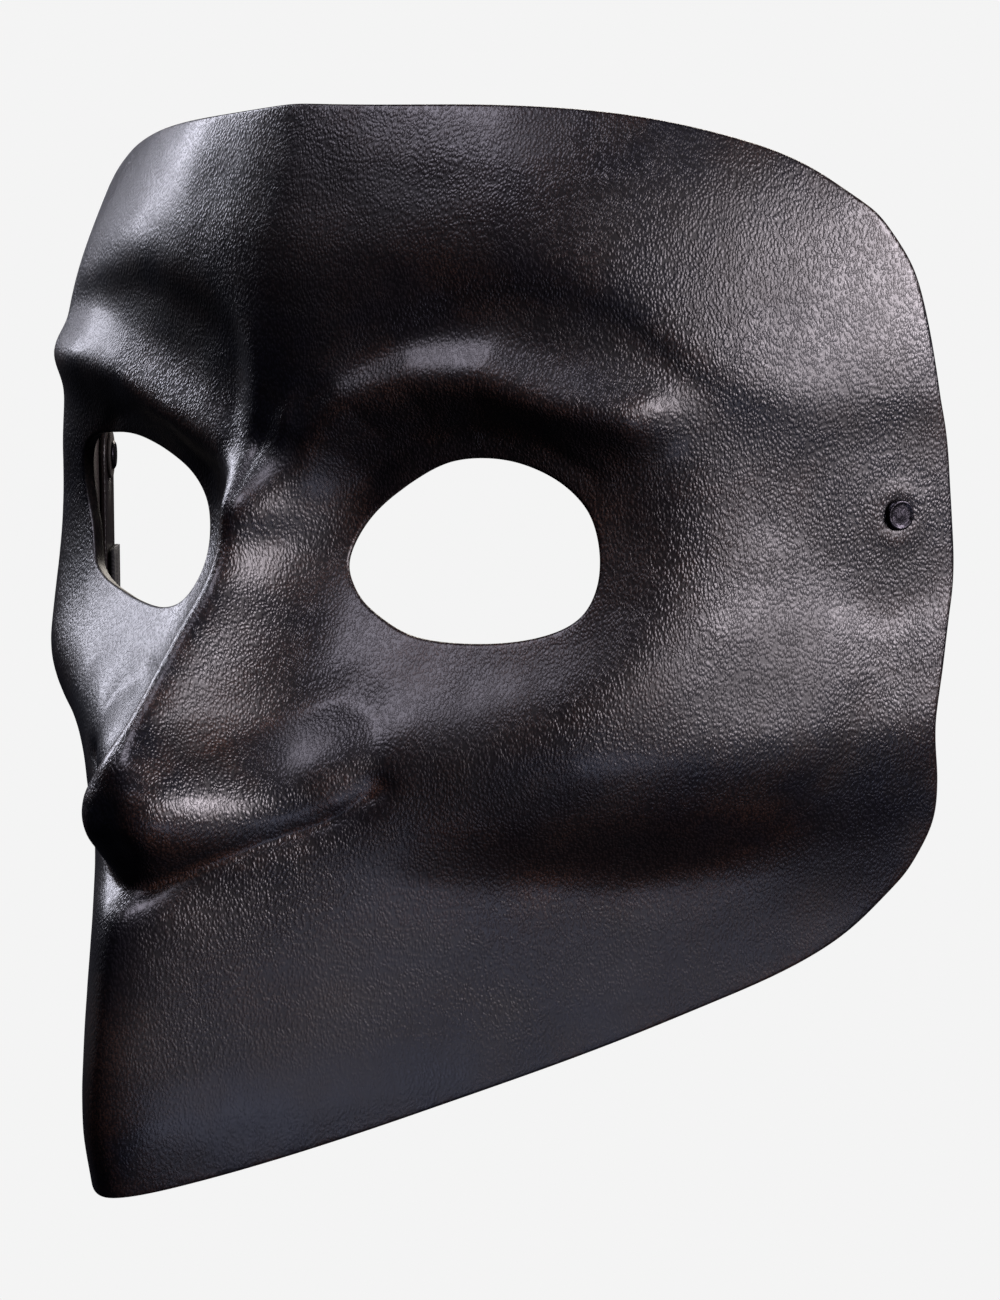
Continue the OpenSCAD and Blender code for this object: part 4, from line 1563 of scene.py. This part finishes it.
@dataclass(frozen=True)
class Softbox:
    """One soft light, aimed at the mask from an azimuth and elevation in degrees."""

    name: str
    azimuth: float
    elevation: float
    distance: float
    width: float
    height: float
    watts: float
    tint: str = "#ffffff"

    def build(self, target: Vector) -> None:
        """Hangs the light.

        Args:
            target: The place it is aimed at, in metres.
        """
        data = bpy.data.lights.new(self.name, "AREA")
        data.shape = "RECTANGLE"
        data.size, data.size_y = self.width, self.height
        data.energy = self.watts
        data.color = linear(self.tint)[:3]
        made = bpy.data.objects.new(self.name, data)
        bpy.context.scene.collection.objects.link(made)
        way = direction(self.azimuth, self.elevation)
        made.location = target + way * self.distance
        made.rotation_euler = way.to_track_quat("Z", "Y").to_euler()
        made.visible_camera = False


def direction(azimuth: float, elevation: float) -> Vector:
    """The way from the mask towards an azimuth and elevation, 0 and 0 being straight in front."""
    a, e = math.radians(azimuth), math.radians(elevation)
    return Vector((math.sin(a) * math.cos(e), -math.cos(a) * math.cos(e), math.sin(e)))


@dataclass(frozen=True)
class Studio:
    """Pale floor and backdrop, soft lights, and the camera."""

    floor_z: float = -0.19
    floor_r: float = 6.0
    dome_r: float = 9.0
    pale: str = "#f4f4f4"
    room: str = "#34343f"
    room_strength: float = 0.19
    middle: tuple[float, float, float] = (0.0, -0.055, -0.015)
    camera_at: tuple[float, float, float] = (0.4185, -0.6667, 0.0944)
    camera_azimuth: float = 32.0
    camera_elevation: float = 9.0
    lens: float = 155.3
    lights: tuple[Softbox, ...] = (
        Softbox("right_softbox", 98, 14, 1.1, 0.24, 0.42, 13.0, "#fbf0f8"),
        Softbox("left_softbox", -98, 30, 1.1, 0.26, 0.7, 8.0, "#f0f0ff"),
        Softbox("top_softbox", 6, 62, 1.0, 0.5, 0.26, 4.4, "#f3ecff"),
        Softbox("low_fill", 74, -22, 1.2, 0.3, 0.26, 0.8, "#d6dcff"),
        Softbox("back_fill", 196, 24, 1.3, 0.6, 0.5, 7.0, "#fff6ea"))

    def build(self) -> None:
        """Sets the floor, the backdrop, the lights and the camera."""
        self.backdrop()
        target = Vector(self.middle)
        for light in self.lights:
            light.build(target)
        world = bpy.data.worlds.new("dim_room")
        bpy.context.scene.world = world
        world.use_nodes = True
        glow = world.node_tree.nodes["Background"].inputs
        glow["Color"].default_value = linear(self.room)
        glow["Strength"].default_value = self.room_strength
        bpy.context.scene.view_settings.view_transform = "Standard"
        self.camera()

    def backdrop(self) -> None:
        """Makes a wide floor and a far dome that show the same pale tone all over."""
        material, tree = new_material("plain_pale_paper")
        glow = add_node(tree, "Emission", {"Color": linear(self.pale), "Strength": 1.0})
        add_node(tree, "OutputMaterial", {"Surface": glow})
        for name in ("floor", "backdrop"):
            mesh = bmesh.new()
            if name == "floor":
                bmesh.ops.create_circle(mesh, cap_ends=True, segments=64, radius=self.floor_r,
                                        matrix=Matrix.Translation((0, 0, self.floor_z)))
            else:
                bmesh.ops.create_uvsphere(mesh, u_segments=48, v_segments=24, radius=self.dome_r)
            made = add_object(name, mesh)
            made.data.materials.append(material)
            made.visible_diffuse = made.visible_glossy = made.visible_shadow = False
            made.visible_transmission = made.visible_volume_scatter = False

    def camera(self) -> None:
        """Places the camera."""
        data = bpy.data.cameras.new("camera")
        data.lens = self.lens
        data.sensor_fit = "HORIZONTAL"
        data.clip_end = 50.0
        made = bpy.data.objects.new("camera", data)
        bpy.context.scene.collection.objects.link(made)
        made.location = self.camera_at
        way = direction(self.camera_azimuth, self.camera_elevation)
        made.rotation_euler = way.to_track_quat("Z", "Y").to_euler()
        bpy.context.scene.camera = made


def main() -> None:
    """Builds the studio and every piece in order, and reports each one."""
    logging.basicConfig(level=logging.INFO, format="%(message)s")
    Studio().build()
    finishes = Workshop.open()
    shell = MaskShell(FaceForm()).build(finishes)
    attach(shell, "mask")
    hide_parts("mask_shell")
    pieces = [shell]
    for side in Side:
        pieces += RivetStack(side).build(finishes)
        pieces += StrapTab(side).build(finishes)
        pieces.append(ElasticHalf(side).build(finishes))
    pieces.append(CentreTacks().build(finishes))
    for piece in pieces:
        log.info("%s: %d vertices", piece.name, len(piece.data.vertices))


if __name__ == "__main__":
    main()
